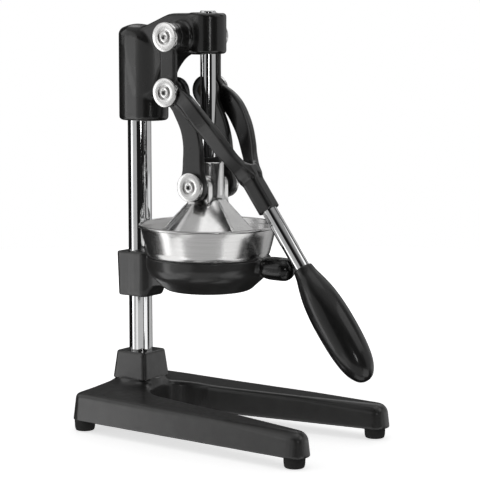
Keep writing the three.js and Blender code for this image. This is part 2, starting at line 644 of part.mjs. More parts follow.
function grip() {
  const start = LEVER.gripStart;
  const end = LEVER.gripEnd;
  return turned([
    [0, BAR.tenonEnd + GAP], [BAR.tenonR + GAP, BAR.tenonEnd + GAP], [BAR.tenonR + GAP, start + 6 + GAP],
    [BAR.radius + GAP, start + 6 + GAP], [BAR.radius + GAP, start], [9.6, start], [10.6, start + 2],
    [12, start + 9], [15, start + 20], [18, start + 34], [19.9, start + 52], [20.3, start + 72],
    [19.6, start + 92], [17.6, start + 108], [14.4, start + 119], [9.5, start + 127], [4.5, start + 130.4],
    [0, end],
  ], 20);
}

function addLever(parent) {
  const lever = subGroup(parent, LEVER_PIVOT.x, 0, LEVER_PIVOT.z);
  lever.rotation.y = LEVER_TILT;
  place(lever, 'yoke_casting', yokeCasting(), ENAMEL);
  const alongLever = [0, Math.PI / 2, 0];
  place(lever, 'handle_bar', handleBar(), CHROME, [0, 0, LEVER.axisZ], alongLever);
  place(lever, 'grip', grip(), GRIP_PLASTIC, [0, 0, LEVER.axisZ], alongLever);
  addBushPair(parent, 'lever_bush', LEVER_PIVOT, YOKE_Y.inner, YOKE_Y.outer);
  addPivotPair(parent, 'lever_pivot', LEVER_PIVOT, YOKE_Y.outer + GAP, LEVER_SCREW_TIP);
  addPivotPair(parent, 'crank_pivot', LINK_PIVOT, YOKE_Y.outer + GAP, YOKE_Y.inner + GAP);
}

// ---------------------------------------------------------------------------------------------------
// Links between the lever and the press dome
// ---------------------------------------------------------------------------------------------------
const LINK_LINE = [
  [DOME_PIVOT.x, DOME_PIVOT.z, 12.5], [90.2, 282, 11.9], [89.9, 303, 10.9],
  [85.4, 322, 10.3], [76.4, 340, 10.5], [LINK_PIVOT.x, LINK_PIVOT.z, 11],
];

function linkCasting(sign) {
  const [from, to] = [sign * LINK_Y.inner, sign * LINK_Y.outer].sort((a, b) => a - b);
  const eyes = [DOME_PIVOT, LINK_PIVOT].map(({ x, z }) => crossCylinder(LINK_EYE_R, x, z, from, to));
  const outer = sign * (YOKE_Y.inner - GAP);
  const boss = crossCylinder(12, LINK_PIVOT.x, LINK_PIVOT.z, sign * (LINK_Y.inner + 1), outer, 20);
  const band = sideExtruded(bandOutline(LINK_LINE, 9), from, to);
  const tools = [DOME_PIVOT, LINK_PIVOT].map(({ x, z }) => crossCylinder(EYE.boreR, x, z, -60, 60, 16));
  return geometryOf(cut(join(band, ...eyes, boss), ...tools));
}

function addLinks(parent) {
  for (const [side, sign] of Object.entries(SIDES)) {
    place(parent, `link_${side}`, linkCasting(sign), ENAMEL);
  }
  addBushPair(parent, 'link_upper_bush', LINK_PIVOT, LINK_Y.inner, YOKE_Y.inner - GAP);
  addBushPair(parent, 'link_lower_bush', DOME_PIVOT, LINK_Y.inner, LINK_Y.outer);
}

// ---------------------------------------------------------------------------------------------------
// Press dome on the guide rod
// ---------------------------------------------------------------------------------------------------
const BUSHING = { outer: 11, bottomZ: 250, topZ: 284 };

function domeOutside() {
  const { hubR, hubTopZ, neckZ, skirtR, skirtZ, bottomZ } = DOME;
  return turned([
    [0, bottomZ], [skirtR, bottomZ], [skirtR, skirtZ - 3], [skirtR - 2.5, skirtZ + 2], [hubR + 2, neckZ - 1],
    [hubR, neckZ + 3], [hubR, hubTopZ - 1], [hubR - 1, hubTopZ], [0, hubTopZ],
  ], 32);
}

function pressDome() {
  const { hubR, hubTopZ, neckZ, skirtR, skirtZ, bottomZ, wall } = DOME;
  const { radius, halfY, spacerR, spacerY } = DOME_EAR;
  const earTop = crossCylinder(radius, 0, DOME_PIVOT.z, -halfY, halfY);
  const earFoot = block(-radius, radius, -halfY, halfY, neckZ - 7, DOME_PIVOT.z);
  const spacer = crossCylinder(spacerR, 0, DOME_PIVOT.z, -spacerY, spacerY, 20);
  const rib = sideExtruded(roundedOutline([
    [-skirtR + 0.6, skirtZ + 1, 2], [skirtR - 0.6, skirtZ + 1, 2], [hubR + 4.5, neckZ + 3, 5],
    [hubR - 4, neckZ + 14, 2], [-hubR + 4, neckZ + 14, 2], [-hubR - 4.5, neckZ + 3, 5],
  ]), -7, 7);
  const hollow = turned([
    [0, bottomZ - 1], [skirtR - wall, bottomZ - 1], [skirtR - wall, skirtZ - 4],
    [skirtR - wall - 3, skirtZ - 1],
    [hubR - 2, neckZ - 7], [0, neckZ - 6.5],
  ], 32);
  const tools = [
    hollow,
    cylinder(BUSHING.outer + GAP, BUSHING.bottomZ - GAP, hubTopZ + 1),
    cylinder(ROD.radius + GAP + 0.4, neckZ - 8, BUSHING.bottomZ + 1),
  ];
  for (const sign of Object.values(SIDES)) {
    const thread = [SCREW.shankR + GAP, 0, DOME_PIVOT.z, sign * (DOME_SCREW_TIP - 2), sign * 30];
    tools.push(crossCylinder(...thread, 12));
  }
  return geometryOf(cut(join(domeOutside(), earTop, earFoot, spacer, rib), ...tools));
}

function addPressDome(parent) {
  place(parent, 'press_dome', pressDome(), ALUMINIUM, [ROD_X, 0, 0]);
  const bushing = ring(BUSHING.outer, ROD.radius + GAP, BUSHING.bottomZ, BUSHING.topZ);
  place(parent, 'rod_bushing', bushing, BRONZE, [ROD_X, 0, 0]);
  const seal = turned([
    [ROD.radius + GAP, BUSHING.topZ + GAP], [BUSHING.outer - GAP, BUSHING.topZ + GAP],
    [BUSHING.outer - GAP, DOME.hubTopZ + GAP], [SEAL.radius, DOME.hubTopZ + GAP],
    [SEAL.radius, SEAL.topZ - 1],
    [SEAL.radius - 1.4, SEAL.topZ], [ROD.radius + GAP, SEAL.topZ], [ROD.radius + GAP, BUSHING.topZ + GAP],
  ]);
  place(parent, 'rod_seal', seal, RUBBER, [ROD_X, 0, 0]);
  addPivotPair(parent, 'dome_pivot', DOME_PIVOT, LINK_Y.outer + GAP, DOME_SCREW_TIP);
}

// ---------------------------------------------------------------------------------------------------
// The whole object
// ---------------------------------------------------------------------------------------------------
const citrusPress = new THREE.Group();
const frame = subGroup(citrusPress, COLUMN_X, 0, 0);
addBase(frame);
addColumn(frame);
addHead(frame);
addBowlGroup(frame);
addLever(frame);
addLinks(frame);
addPressDome(frame);

export default citrusPress;
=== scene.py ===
"""Lever citrus press: the fine surfaces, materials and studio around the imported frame.

Shapes are drawn in millimetres. Castings are signed distances turned into meshes, and turned parts are
profiles spun about their axis. Places come from the frame.
"""

import json
import math

import bmesh
import bpy
import numpy as np
from mathutils import Matrix, Vector


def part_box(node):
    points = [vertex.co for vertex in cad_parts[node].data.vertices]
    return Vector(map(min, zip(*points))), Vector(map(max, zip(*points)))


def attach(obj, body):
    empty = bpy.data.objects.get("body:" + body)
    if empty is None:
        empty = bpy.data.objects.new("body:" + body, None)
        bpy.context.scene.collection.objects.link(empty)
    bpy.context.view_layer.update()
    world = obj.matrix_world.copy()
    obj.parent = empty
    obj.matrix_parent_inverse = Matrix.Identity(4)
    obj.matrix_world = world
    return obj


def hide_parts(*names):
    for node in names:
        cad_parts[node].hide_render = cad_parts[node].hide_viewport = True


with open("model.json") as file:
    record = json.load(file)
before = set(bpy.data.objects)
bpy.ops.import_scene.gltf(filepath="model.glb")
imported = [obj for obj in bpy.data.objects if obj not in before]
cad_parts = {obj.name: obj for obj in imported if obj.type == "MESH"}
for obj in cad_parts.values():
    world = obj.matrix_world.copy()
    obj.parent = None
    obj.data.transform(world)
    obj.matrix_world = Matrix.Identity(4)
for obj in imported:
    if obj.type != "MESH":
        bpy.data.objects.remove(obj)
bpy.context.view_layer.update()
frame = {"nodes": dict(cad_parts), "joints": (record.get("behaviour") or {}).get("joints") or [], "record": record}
MM = 0.001
SIDES = {"left": 1, "right": -1}


# ------------------------------------------------------------------------------------------------------
# Places, from the frame
# ------------------------------------------------------------------------------------------------------
def middle(node):
    low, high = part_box(node)
    return (low + high) / 2


def joint(name):
    return next(j for j in frame["joints"] if j["name"] == name)


COLUMN_AXIS = Vector((middle("column_tube").x, 0, 0))
ROD_AXIS = Vector((middle("guide_rod").x, 0, 0))
ROD_X = (ROD_AXIS.x - COLUMN_AXIS.x) / MM
LEVER_AXIS = Vector(joint("lever_hinge")["pos_m"])
CRANK_AXIS = middle("crank_pivot_washer_left")
CRANK_AXIS.y = 0
DOME_AXIS = middle("dome_pivot_washer_left")
DOME_AXIS.y = 0
BUMPER_AXIS = middle("lever_bumper")
LEVER_X, LEVER_Z = (LEVER_AXIS.x - COLUMN_AXIS.x) / MM, LEVER_AXIS.z / MM
CRANK_X, CRANK_Z = (CRANK_AXIS.x - COLUMN_AXIS.x) / MM, CRANK_AXIS.z / MM
DOME_X, DOME_Z = (DOME_AXIS.x - COLUMN_AXIS.x) / MM, DOME_AXIS.z / MM
LEVER_TILT = 0.944

BODY_OF = {n: body for body, names in frame["record"]["behaviour"]["bodies"].items() for n in names}
SLOT_OF = {part["node"]: part["material_slot"] for part in frame["record"]["subparts"]}
# The base and bracket take the rougher enamel, whose lighter colour is painted light from the table below.
FINISH_OF = {**SLOT_OF, "base_casting": "rough_enamel_painted_light", "bracket_casting": "rough_enamel_painted_light"}

AT_COLUMN = Matrix.Translation(COLUMN_AXIS)
AT_ROD = Matrix.Translation(ROD_AXIS)
AT_LEVER = Matrix.Translation(LEVER_AXIS)
LEVER_TURN = Matrix.Rotation(LEVER_TILT, 3, "Y")


def outward(axis_point, sign):
    """Local Z points away from the middle plane, on the left (+Y) or right side."""
    return Matrix.Translation(axis_point) @ Matrix.Rotation(-sign * math.pi / 2, 4, "X")


# ------------------------------------------------------------------------------------------------------
# Materials
# ------------------------------------------------------------------------------------------------------
class Surface:
    """A Principled material with procedural colour, roughness and bump in object coordinates."""

    def __init__(self, name, **sockets):
        self.material = bpy.data.materials.new(name)
        self.material.use_nodes = True
        self.tree = self.material.node_tree
        self.shader = self.tree.nodes["Principled BSDF"]
        self.coords = self.tree.nodes.new("ShaderNodeTexCoord").outputs["Object"]
        for socket, value in sockets.items():
            self.shader.inputs[socket.replace("_", " ")].default_value = value

    def node(self, kind, **settings):
        made = self.tree.nodes.new(kind)
        for key, value in settings.items():
            setattr(made, key, value)
        return made

    def link(self, source, target):
        self.tree.links.new(source, target)

    def stretched(self, scale):
        """Object coordinates stretched by a scale on each axis."""
        mapping = self.node("ShaderNodeMapping")
        mapping.inputs["Scale"].default_value = scale
        self.link(self.coords, mapping.inputs["Vector"])
        return mapping.outputs["Vector"]

    def noise(self, scale, detail=3.0, roughness=0.5, coords=None):
        texture = self.node("ShaderNodeTexNoise")
        texture.inputs["Scale"].default_value = scale
        texture.inputs["Detail"].default_value = detail
        texture.inputs["Roughness"].default_value = roughness
        self.link(coords or self.coords, texture.inputs["Vector"])
        return texture.outputs["Fac"]

    def cells(self, scale):
        texture = self.node("ShaderNodeTexVoronoi", feature="SMOOTH_F1")
        texture.inputs["Scale"].default_value = scale
        texture.inputs["Smoothness"].default_value = 0.4
        self.link(self.coords, texture.inputs["Vector"])
        return texture.outputs["Distance"]

    def radial(self):
        """Distance from the object's own Z axis."""
        flat = self.stretched((1, 1, 0))
        length = self.node("ShaderNodeVectorMath", operation="LENGTH")
        self.link(flat, length.inputs[0])
        return length.outputs["Value"]

    def spread(self, source, low, high, to_low, to_high):
        """Maps low..high of a value to to_low..to_high."""
        ranged = self.node("ShaderNodeMapRange")
        for socket, value in zip(("From Min", "From Max", "To Min", "To Max"), (low, high, to_low, to_high)):
            ranged.inputs[socket].default_value = value
        self.link(source, ranged.inputs["Value"])
        return ranged.outputs["Result"]

    def colour(self, source, dark, light, low=0.3, high=0.7):
        ramp = self.node("ShaderNodeValToRGB")
        ramp.color_ramp.elements[0].position = low
        ramp.color_ramp.elements[0].color = (*dark, 1)
        ramp.color_ramp.elements[1].position = high
        ramp.color_ramp.elements[1].color = (*light, 1)
        self.link(source, ramp.inputs["Fac"])
        self.link(ramp.outputs["Color"], self.shader.inputs["Base Color"])

    def roughness(self, source, smooth, rough, low=0.3, high=0.7):
        self.link(self.spread(source, low, high, smooth, rough), self.shader.inputs["Roughness"])

    def bump(self, height, depth_mm, strength=1.0):
        """Adds a bump layer of that depth over what is already there."""
        layer = self.node("ShaderNodeBump")
        layer.inputs["Strength"].default_value = strength
        layer.inputs["Distance"].default_value = depth_mm * MM
        self.link(height, layer.inputs["Height"])
        target = self.shader.inputs["Normal"]
        if target.is_linked:
            self.link(target.links[0].from_socket, layer.inputs["Normal"])
        self.link(layer.outputs["Normal"], target)


def black_enamel():
    """Sprayed gloss enamel over cast iron: orange peel, and a faint unevenness of the casting below."""
    s = Surface("black_enamel", Coat_Weight=0.6, Coat_Roughness=0.14, Specular_IOR_Level=0.45)
    s.colour(s.noise(45, 4), (0.0080, 0.0078, 0.0076), (0.0130, 0.0126, 0.0122))
    s.roughness(s.noise(160, 3), 0.27, 0.36)
    s.bump(s.noise(60, 2), 0.14, 0.35)
    s.bump(s.cells(620), 0.035, 0.30)
    return s.material


def rough_enamel_painted_light():
    """The same enamel over rougher iron, as on the base and bracket, with the sand grain showing. Its greyer
    colour is painted light, standing in for the pale table's light on these low castings.
    """
    s = Surface("rough_enamel_painted_light", Coat_Weight=0.65, Coat_Roughness=0.18, Specular_IOR_Level=0.5)
    # Painted light: this colour is lighter than the black enamel's, so that the low castings look lit by the pale
    # table.
    s.colour(s.noise(45, 4), (0.017, 0.0166, 0.0162), (0.028, 0.0273, 0.0266))
    s.roughness(s.noise(160, 3), 0.34, 0.46)
    s.bump(s.noise(60, 2), 0.14, 0.35)
    s.bump(s.noise(520, 3, 0.6), 0.16, 0.50)
    s.bump(s.cells(620), 0.035, 0.30)
    return s.material


def chrome():
    s = Surface("chrome", Metallic=1.0)
    s.colour(s.noise(30, 3), (0.83, 0.84, 0.85), (0.90, 0.90, 0.90))
    s.roughness(s.noise(90, 4, coords=s.stretched((1, 1, 0.15))), 0.045, 0.085)
    s.bump(s.noise(900, 2, coords=s.stretched((1, 1, 0.06))), 0.004, 0.25)
    return s.material


def cast_aluminium():
    """Polished casting: clear reflections broken by fine polishing lines and small dull patches."""
    s = Surface("cast_aluminium", Metallic=1.0)
    s.colour(s.noise(70, 5), (0.84, 0.835, 0.83), (0.93, 0.925, 0.92))
    s.roughness(s.noise(220, 3), 0.17, 0.24)
    s.bump(s.noise(120, 2), 0.03, 0.25)
    s.bump(s.noise(1500, 2, coords=s.stretched((1, 1, 0.25))), 0.004, 0.25)
    return s.material


def stainless():
    """Spun sheet, brushed round its axis."""
    s = Surface("stainless", Metallic=1.0, Anisotropic=0.55)
    brushed = s.stretched((0.02, 0.02, 1))
    s.colour(s.noise(800, 3, coords=brushed), (0.68, 0.675, 0.67), (0.75, 0.745, 0.74))
    s.roughness(s.noise(1500, 3, coords=brushed), 0.17, 0.23)
    s.bump(s.noise(2600, 3, coords=brushed), 0.004, 0.30)
    tangent = s.node("ShaderNodeTangent", direction_type="RADIAL", axis="Z")
    s.link(tangent.outputs["Tangent"], s.shader.inputs["Tangent"])
    return s.material


def bright_steel():
    """Faced in a lathe: fine rings round the piece's own axis."""
    s = Surface("bright_steel", Metallic=1.0)
    s.colour(s.noise(260, 4), (0.74, 0.735, 0.73), (0.78, 0.775, 0.77))
    s.roughness(s.noise(700, 3), 0.13, 0.18)
    rings = s.node("ShaderNodeMath", operation="SINE")
    turns = s.node("ShaderNodeMath", operation="MULTIPLY")
    turns.inputs[1].default_value = 2 * math.pi / (0.35 * MM)
    s.link(s.radial(), turns.inputs[0])
    s.link(turns.outputs["Value"], rings.inputs[0])
    s.bump(rings.outputs["Value"], 0.0008, 0.2)
    s.bump(s.noise(500, 2), 0.002, 0.2)
    return s.material


def zinc_steel():
    s = Surface("zinc_steel", Metallic=1.0)
    s.colour(s.noise(180, 4), (0.42, 0.43, 0.44), (0.58, 0.585, 0.58))
    s.roughness(s.noise(300, 3), 0.30, 0.48)
    s.bump(s.noise(900, 3), 0.02, 0.4)
    return s.material


def bronze():
    """Sintered bronze, dark with oil."""
    s = Surface("bronze", Metallic=1.0)
    s.colour(s.noise(260, 4), (0.030, 0.025, 0.019), (0.052, 0.042, 0.032))
    s.roughness(s.noise(500, 3), 0.36, 0.5)
    s.bump(s.cells(1800), 0.02, 0.4)
    return s.material


def black_rubber():
    s = Surface("black_rubber", Specular_IOR_Level=0.35)
    s.colour(s.noise(120, 4), (0.010, 0.010, 0.010), (0.020, 0.0195, 0.019))
    s.roughness(s.noise(200, 3), 0.62, 0.80)
    s.bump(s.noise(1400, 3), 0.03, 0.5)
    return s.material


def bumper_plastic():
    s = Surface("bumper_plastic", Coat_Weight=0.3, Coat_Roughness=0.10, Specular_IOR_Level=0.4)
    s.colour(s.noise(60, 3), (0.0040, 0.0040, 0.0040), (0.0070, 0.0068, 0.0065))
    s.roughness(s.noise(150, 3), 0.20, 0.30)
    s.bump(s.noise(260, 2), 0.03, 0.25)
    return s.material


def grip_plastic():
    """Moulded handle with a fine leather grain."""
    s = Surface("grip_plastic", Coat_Weight=0.6, Coat_Roughness=0.13, Specular_IOR_Level=0.4)
    s.colour(s.noise(50, 3), (0.0026, 0.0025, 0.0024), (0.0048, 0.0046, 0.0044))
    s.roughness(s.noise(180, 3), 0.36, 0.46)
    s.bump(s.cells(1150), 0.05, 0.40)
    s.bump(s.noise(2200, 2), 0.015, 0.30)
    return s.material


MATERIALS = {
    make.__name__: make()
    for make in (
        black_enamel, rough_enamel_painted_light, chrome, cast_aluminium, stainless, bright_steel, zinc_steel, bronze,
        black_rubber, bumper_plastic, grip_plastic,
    )
}


# ------------------------------------------------------------------------------------------------------
# Pieces
# ------------------------------------------------------------------------------------------------------
SHARP = math.radians(38)


def add_piece(node, points_mm, faces, place, normals=None, turn=None):
    """Makes the fine mesh that stands for a CAD node, on its body and in its slot. turn tilts the mesh."""
    points = np.asarray(points_mm) * MM
    if turn is not None:
        points = points @ np.array(turn).T
        normals = normals if normals is None else normals @ np.array(turn).T
    mesh = bpy.data.meshes.new(node + "_fine")
    mesh.from_pydata(points.tolist(), [], faces)
    mesh.materials.append(MATERIALS[FINISH_OF[node]])
    mesh.shade_smooth()
    if normals is None:
        turn_outwards(mesh)
        mesh.set_sharp_from_angle(angle=SHARP)
    else:
        mesh.normals_split_custom_set_from_vertices(normals.tolist())
    piece = bpy.data.objects.new(node + "_fine", mesh)
    bpy.context.scene.collection.objects.link(piece)
    piece.matrix_world = place
    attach(piece, BODY_OF[node])
    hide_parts(node)
    return piece


def turn_outwards(mesh):
    work = bmesh.new()
    work.from_mesh(mesh)
    bmesh.ops.recalc_face_normals(work, faces=work.faces)
    work.to_mesh(mesh)
    work.free()


# ------------------------------------------------------------------------------------------------------
# Outlines and turned parts
# ------------------------------------------------------------------------------------------------------
def softened(corners, closed=True, steps=6):
    """An outline through (u, v) or (u, v, radius) corners, each corner with a radius drawn as a curve."""
    outline = []
    count = len(corners)
    for i, (u, v, *radius) in enumerate(corners):
        at_end = not closed and i in (0, count - 1)
        if at_end or not radius or radius[0] <= 0:
            outline.append((u, v))
            continue
        here = np.array((u, v))
        ends = []
        for other in (corners[i - 1], corners[(i + 1) % count]):
            towards = np.array(other[:2]) - here
            length = np.linalg.norm(towards)
            ends.append(here + towards / length * min(radius[0], 0.49 * length))
        for share in np.linspace(0, 1, steps):
            point = ends[0] * (1 - share) ** 2 + here * 2 * share * (1 - share) + ends[1] * share**2
            outline.append(tuple(point))
    return outline


def smooth_line(stations, steps):
    """A smooth curve through stations of any number of values, by Catmull-Rom interpolation."""
    rows = np.array(stations, float)
    padded = np.vstack([2 * rows[0] - rows[1], rows, 2 * rows[-1] - rows[-2]])
    made = []
    for at in np.linspace(0, len(rows) - 1, steps + 1):
        i = min(int(at), len(rows) - 2)
        t = at - i
        a, b, c, d = padded[i : i + 4]
        square_term = (2 * a - 5 * b + 4 * c - d) * t**2
        cube_term = (3 * b - a - 3 * c + d) * t**3
        made.append(0.5 * (2 * b + (c - a) * t + square_term + cube_term))
    return made


def turned(profile, segments=96, radius_at=None, closed=False):
    """Points and faces of a profile of (radius, z) spun about Z. radius_at may change a radius by angle."""
    points, rings, faces = [], [], []
    angles = np.arange(segments) * 2 * math.pi / segments
    for index, (radius, z) in enumerate(profile):
        if radius < 1e-6:
            rings.append([len(points)] * segments)
            points.append((0, 0, z))
            continue
        rings.append(list(range(len(points), len(points) + segments)))
        for angle in angles:
            r = radius_at(index, angle, radius) if radius_at else radius
            points.append((r * math.cos(angle), r * math.sin(angle), z))
    pairs = list(zip(rings, rings[1:]))
    if closed:
        pairs.append((rings[-1], rings[0]))
    for lower, upper in pairs:
        for i in range(segments):
            j = (i + 1) % segments
            corners = [lower[i], lower[j], upper[j], upper[i]]
            face = list(dict.fromkeys(corners))
            if len(face) > 2:
                faces.append(face)
    return points, faces


def add_turned(node, profile, place, turn=None, **options):
    return add_piece(node, *turned(profile, **options), place, turn=turn)


def hexagon(corner_radius, angle):
    """Distance from the middle to the side of a hexagon in that direction."""
    flat = corner_radius * math.cos(math.pi / 6)
    return flat / math.cos((angle + math.pi / 6) % (math.pi / 3) - math.pi / 6)


# ------------------------------------------------------------------------------------------------------
# Signed distances, negative inside. All take arrays that broadcast together.
# ------------------------------------------------------------------------------------------------------
def unite(a, b, soft=0.0):
    """Both shapes, with a fillet where they meet."""
    if soft <= 0:
        return np.minimum(a, b)
    overlap = np.maximum(soft - np.abs(a - b), 0) / soft
    return np.minimum(a, b) - overlap * overlap * soft / 4


def meet(a, b, soft=0.0):
    """What lies in both shapes, with a rounded edge where their surfaces cross."""
    return -unite(-a, -b, soft)


def cut(a, tool, soft=0.0):
    return meet(a, -tool, soft)


def edged(sides, ends, edge):
    """A prism from the distances to its sides and to its ends, with edges of that radius."""
    a, b = sides + edge, ends + edge
    return np.hypot(np.maximum(a, 0), np.maximum(b, 0)) + np.minimum(np.maximum(a, b), 0) - edge


def between(value, low, high):
    return np.abs(value - (low + high) / 2) - (high - low) / 2


def square(u, v, half, corner):
    a, b = np.abs(u) - half + corner, np.abs(v) - half + corner
    return np.hypot(np.maximum(a, 0), np.maximum(b, 0)) + np.minimum(np.maximum(a, b), 0) - corner


def polygon(u, v, outline):
    """Distance to a closed outline of (u, v) points."""
    nearest = None
    inside = False
    for (au, av), (bu, bv) in zip(outline, outline[1:] + outline[:1]):
        eu, ev = bu - au, bv - av
        if eu == 0 and ev == 0:
            continue
        pu, pv = u - au, v - av
        share = np.clip((pu * eu + pv * ev) / (eu * eu + ev * ev), 0, 1)
        gap = (pu - eu * share) ** 2 + (pv - ev * share) ** 2
        nearest = gap if nearest is None else np.minimum(nearest, gap)
        if ev != 0:
            inside ^= ((av <= v) != (bv <= v)) & (pu < eu * pv / ev)
    return np.where(inside, -1, 1) * np.sqrt(nearest)


def ribbon(u, v, stations):
    """Distance to a band about a line of (u, v, half width) stations, and the distance past its left side."""
    best = None
    for (au, av, ah), (bu, bv, bh) in zip(stations, stations[1:]):
        eu, ev = bu - au, bv - av
        length = math.hypot(eu, ev)
        pu, pv = u - au, v - av
        share = np.clip((pu * eu + pv * ev) / (length * length), 0, 1)
        half = ah + (bh - ah) * share
        gap = np.hypot(pu - eu * share, pv - ev * share) - half
        across = (pv * eu - pu * ev) / length - half
        if best is None:
            best, past = gap, across
        else:
            past = np.where(gap < best, across, past)
            best = np.minimum(best, gap)
    return best, past


# ------------------------------------------------------------------------------------------------------
# Surfaces of signed distances
# ------------------------------------------------------------------------------------------------------
CUBE_CORNERS = [(i, j, k) for i in (0, 1) for j in (0, 1) for k in (0, 1)]


def part_of(field, axis, start, stop):
    window = [slice(None)] * 3
    window[axis] = slice(start, stop)
    return field[tuple(window)]


def surface_nets(field, low, step):
    """Quads round the zero level of a grid of distances: one point in each cell that the surface crosses."""
    inside = field < 0
    shape = np.array(field.shape) - 1
    filled = sum(
        inside[i : i + shape[0], j : j + shape[1], k : k + shape[2]].astype(np.uint8)
        for i, j, k in CUBE_CORNERS
    )
    crossed = (filled > 0) & (filled < 8)
    number = np.full(crossed.shape, -1, np.int64)
    number[crossed] = np.arange(crossed.sum())
    sums = np.zeros((int(crossed.sum()), 4))
    quads = []
    for axis in range(3):
        before, after = part_of(field, axis, None, -1), part_of(field, axis, 1, None)
        leaves = part_of(inside, axis, None, -1)
        hit = leaves != part_of(inside, axis, 1, None)
        cells = np.argwhere(hit)
        share = before[hit] / (before[hit] - after[hit])
        places = cells.astype(float)
        places[:, axis] += share
        second, third = (axis + 1) % 3, (axis + 2) % 3
        around = []
        for back_second, back_third in ((0, 0), (1, 0), (1, 1), (0, 1)):
            cell = cells.copy()
            cell[:, second] -= back_second
            cell[:, third] -= back_third
            index = number[tuple(cell.T)]
            around.append(index)
            for column in range(3):
                sums[:, column] += np.bincount(index, places[:, column], len(sums))
            sums[:, 3] += np.bincount(index, minlength=len(sums))
        quad = np.stack(around, 1)
        flipped = ~leaves[hit]
        quad[flipped] = quad[flipped][:, ::-1]
        quads.append(quad)
    points = sums[:, :3] / sums[:, 3:] * step + low
    return points, np.vstack(quads)


def slope_of(shape, points, reach=0.04):
    """Values and gradients of a distance at a list of points."""
    x, y, z = points.T
    gradient = np.stack([
        shape(x + reach, y, z) - shape(x - reach, y, z),
        shape(x, y + reach, z) - shape(x, y - reach, z),
        shape(x, y, z + reach) - shape(x, y, z - reach),
    ], 1) / (2 * reach)
    return shape(x, y, z), gradient


def add_casting(node, shape, low, high, step, place, turn=None):
    """Meshes a signed distance between two corners, moves its points onto the surface, and adds the piece."""
    low, high = np.array(low, float) - 1.5 * step, np.array(high, float) + 1.5 * step
    x, y, z = (np.arange(a, b + step, step) for a, b in zip(low, high))
    grid = shape(x[:, None, None], y[None, :, None], z[None, None, :])
    field = np.array(np.broadcast_to(grid, (len(x), len(y), len(z))))
    points, quads = surface_nets(field, low, step)
    for _ in range(3):
        value, gradient = slope_of(shape, points)
        size = np.maximum((gradient**2).sum(1), 0.25)
        move = -gradient * (value / size)[:, None]
        points += np.clip(move, -0.5 * step, 0.5 * step)
    gradient = slope_of(shape, points)[1]
    normals = gradient / np.maximum(np.linalg.norm(gradient, axis=1), 1e-6)[:, None]
    return add_piece(node, points, quads.tolist(), place, normals, turn)


# ------------------------------------------------------------------------------------------------------
# Base, feet and column
# ------------------------------------------------------------------------------------------------------
FOOT_TOP = 11
BORE, BORE_LOW = 12.8, 25
BASE_TOP, BASE_RISE, BASE_RISE_REACH, BASE_FALL, BASE_DRAFT = 39.4, 6.4, 47, 2.6, 0.12
LEG_EDGE, TIP_EDGE, TIP_START, TIP_RUN = 5, 10, 170, 80
BASE_REAR, BASE_FRONT, BASE_REAR_Y, BASE_OUTER_Y, BASE_INNER_Y = -34, 263, 81, 90, 63
GAP_X, GAP_R = 58, 33
SOCKET_LOW, SOCKET_HIGH, SOCKET_HALF, SOCKET_TOP_HALF, PEDESTAL_R = 48, 78, 22.5, 19.3, 24
POCKET_R, POCKET_TOP, BOLT_HOLE, SCREW_HOLE = 17, 20, 4.3, 3.3


def base_outline():
    slope = math.atan2(BASE_INNER_Y - GAP_R, BASE_FRONT - GAP_X)
    scallop = [
        (GAP_X + GAP_R * math.cos(angle), GAP_R * math.sin(angle))
        for angle in np.linspace(-math.pi / 2 + slope, -1.5 * math.pi - slope, 33)
    ]
    return softened([
        (BASE_REAR, -BASE_REAR_Y, 14), (BASE_FRONT, -BASE_OUTER_Y, 17), (BASE_FRONT, -BASE_INNER_Y, 13),
        *scallop,
        (BASE_FRONT, BASE_INNER_Y, 13), (BASE_FRONT, BASE_OUTER_Y, 17), (BASE_REAR, BASE_REAR_Y, 14),
    ], steps=9)


BASE_OUTLINE = base_outline()


def base_shape(x, y, z):
    """A plate with two round-ended legs, rising to a flared pedestal with a tapered square socket."""
    reach = np.hypot(x, y)
    top = BASE_TOP + BASE_RISE * np.exp(-((reach / BASE_RISE_REACH) ** 2)) - BASE_FALL * x / BASE_FRONT
    walls = polygon(x, y, BASE_OUTLINE) + BASE_DRAFT * (z - FOOT_TOP)
    edge = LEG_EDGE + (TIP_EDGE - LEG_EDGE) * np.clip((x - TIP_START) / TIP_RUN, 0, 1)
    plate = meet(edged(walls, z - top, edge), FOOT_TOP - z, 2)
    pedestal = edged(reach - PEDESTAL_R, between(z, 20, SOCKET_LOW + 1), 0.5)
    half = SOCKET_HALF - (SOCKET_HALF - SOCKET_TOP_HALF) * (z - SOCKET_LOW) / (SOCKET_HIGH - SOCKET_LOW)
    socket = edged(square(x, y, half, 4.5), between(z, SOCKET_LOW, SOCKET_HIGH), 2)
    body = unite(unite(plate, pedestal, 12), socket, 1.5)
    body = cut(body, meet(reach - BORE, BORE_LOW - z), 0.6)
    body = cut(body, meet(reach - POCKET_R, z - POCKET_TOP), 0.8)
    return cut(body, reach - BOLT_HOLE)


def add_base():
    low, high = (BASE_REAR, -BASE_OUTER_Y, FOOT_TOP), (BASE_FRONT, BASE_OUTER_Y, SOCKET_HIGH)
    add_casting("base_casting", base_shape, low, high, 1.5, AT_COLUMN)
    foot = softened([
        (2.4, 4.5), (5.6, 4.5), (5.6, 0, 0.6), (9.6, 0, 1.2), (10.6, 3, 2), (11, 12.2, 0.5), (2.4, 12.2),
    ])
    for end in ("rear", "front"):
        for side in SIDES:
            spot = middle(f"foot_{end}_{side}")
            spot.z = 0
            at_foot = Matrix.Translation(spot)
            add_turned(f"foot_{end}_{side}", foot, at_foot, segments=64, closed=True)
            add_foot_screw(f"foot_screw_{end}_{side}", at_foot)


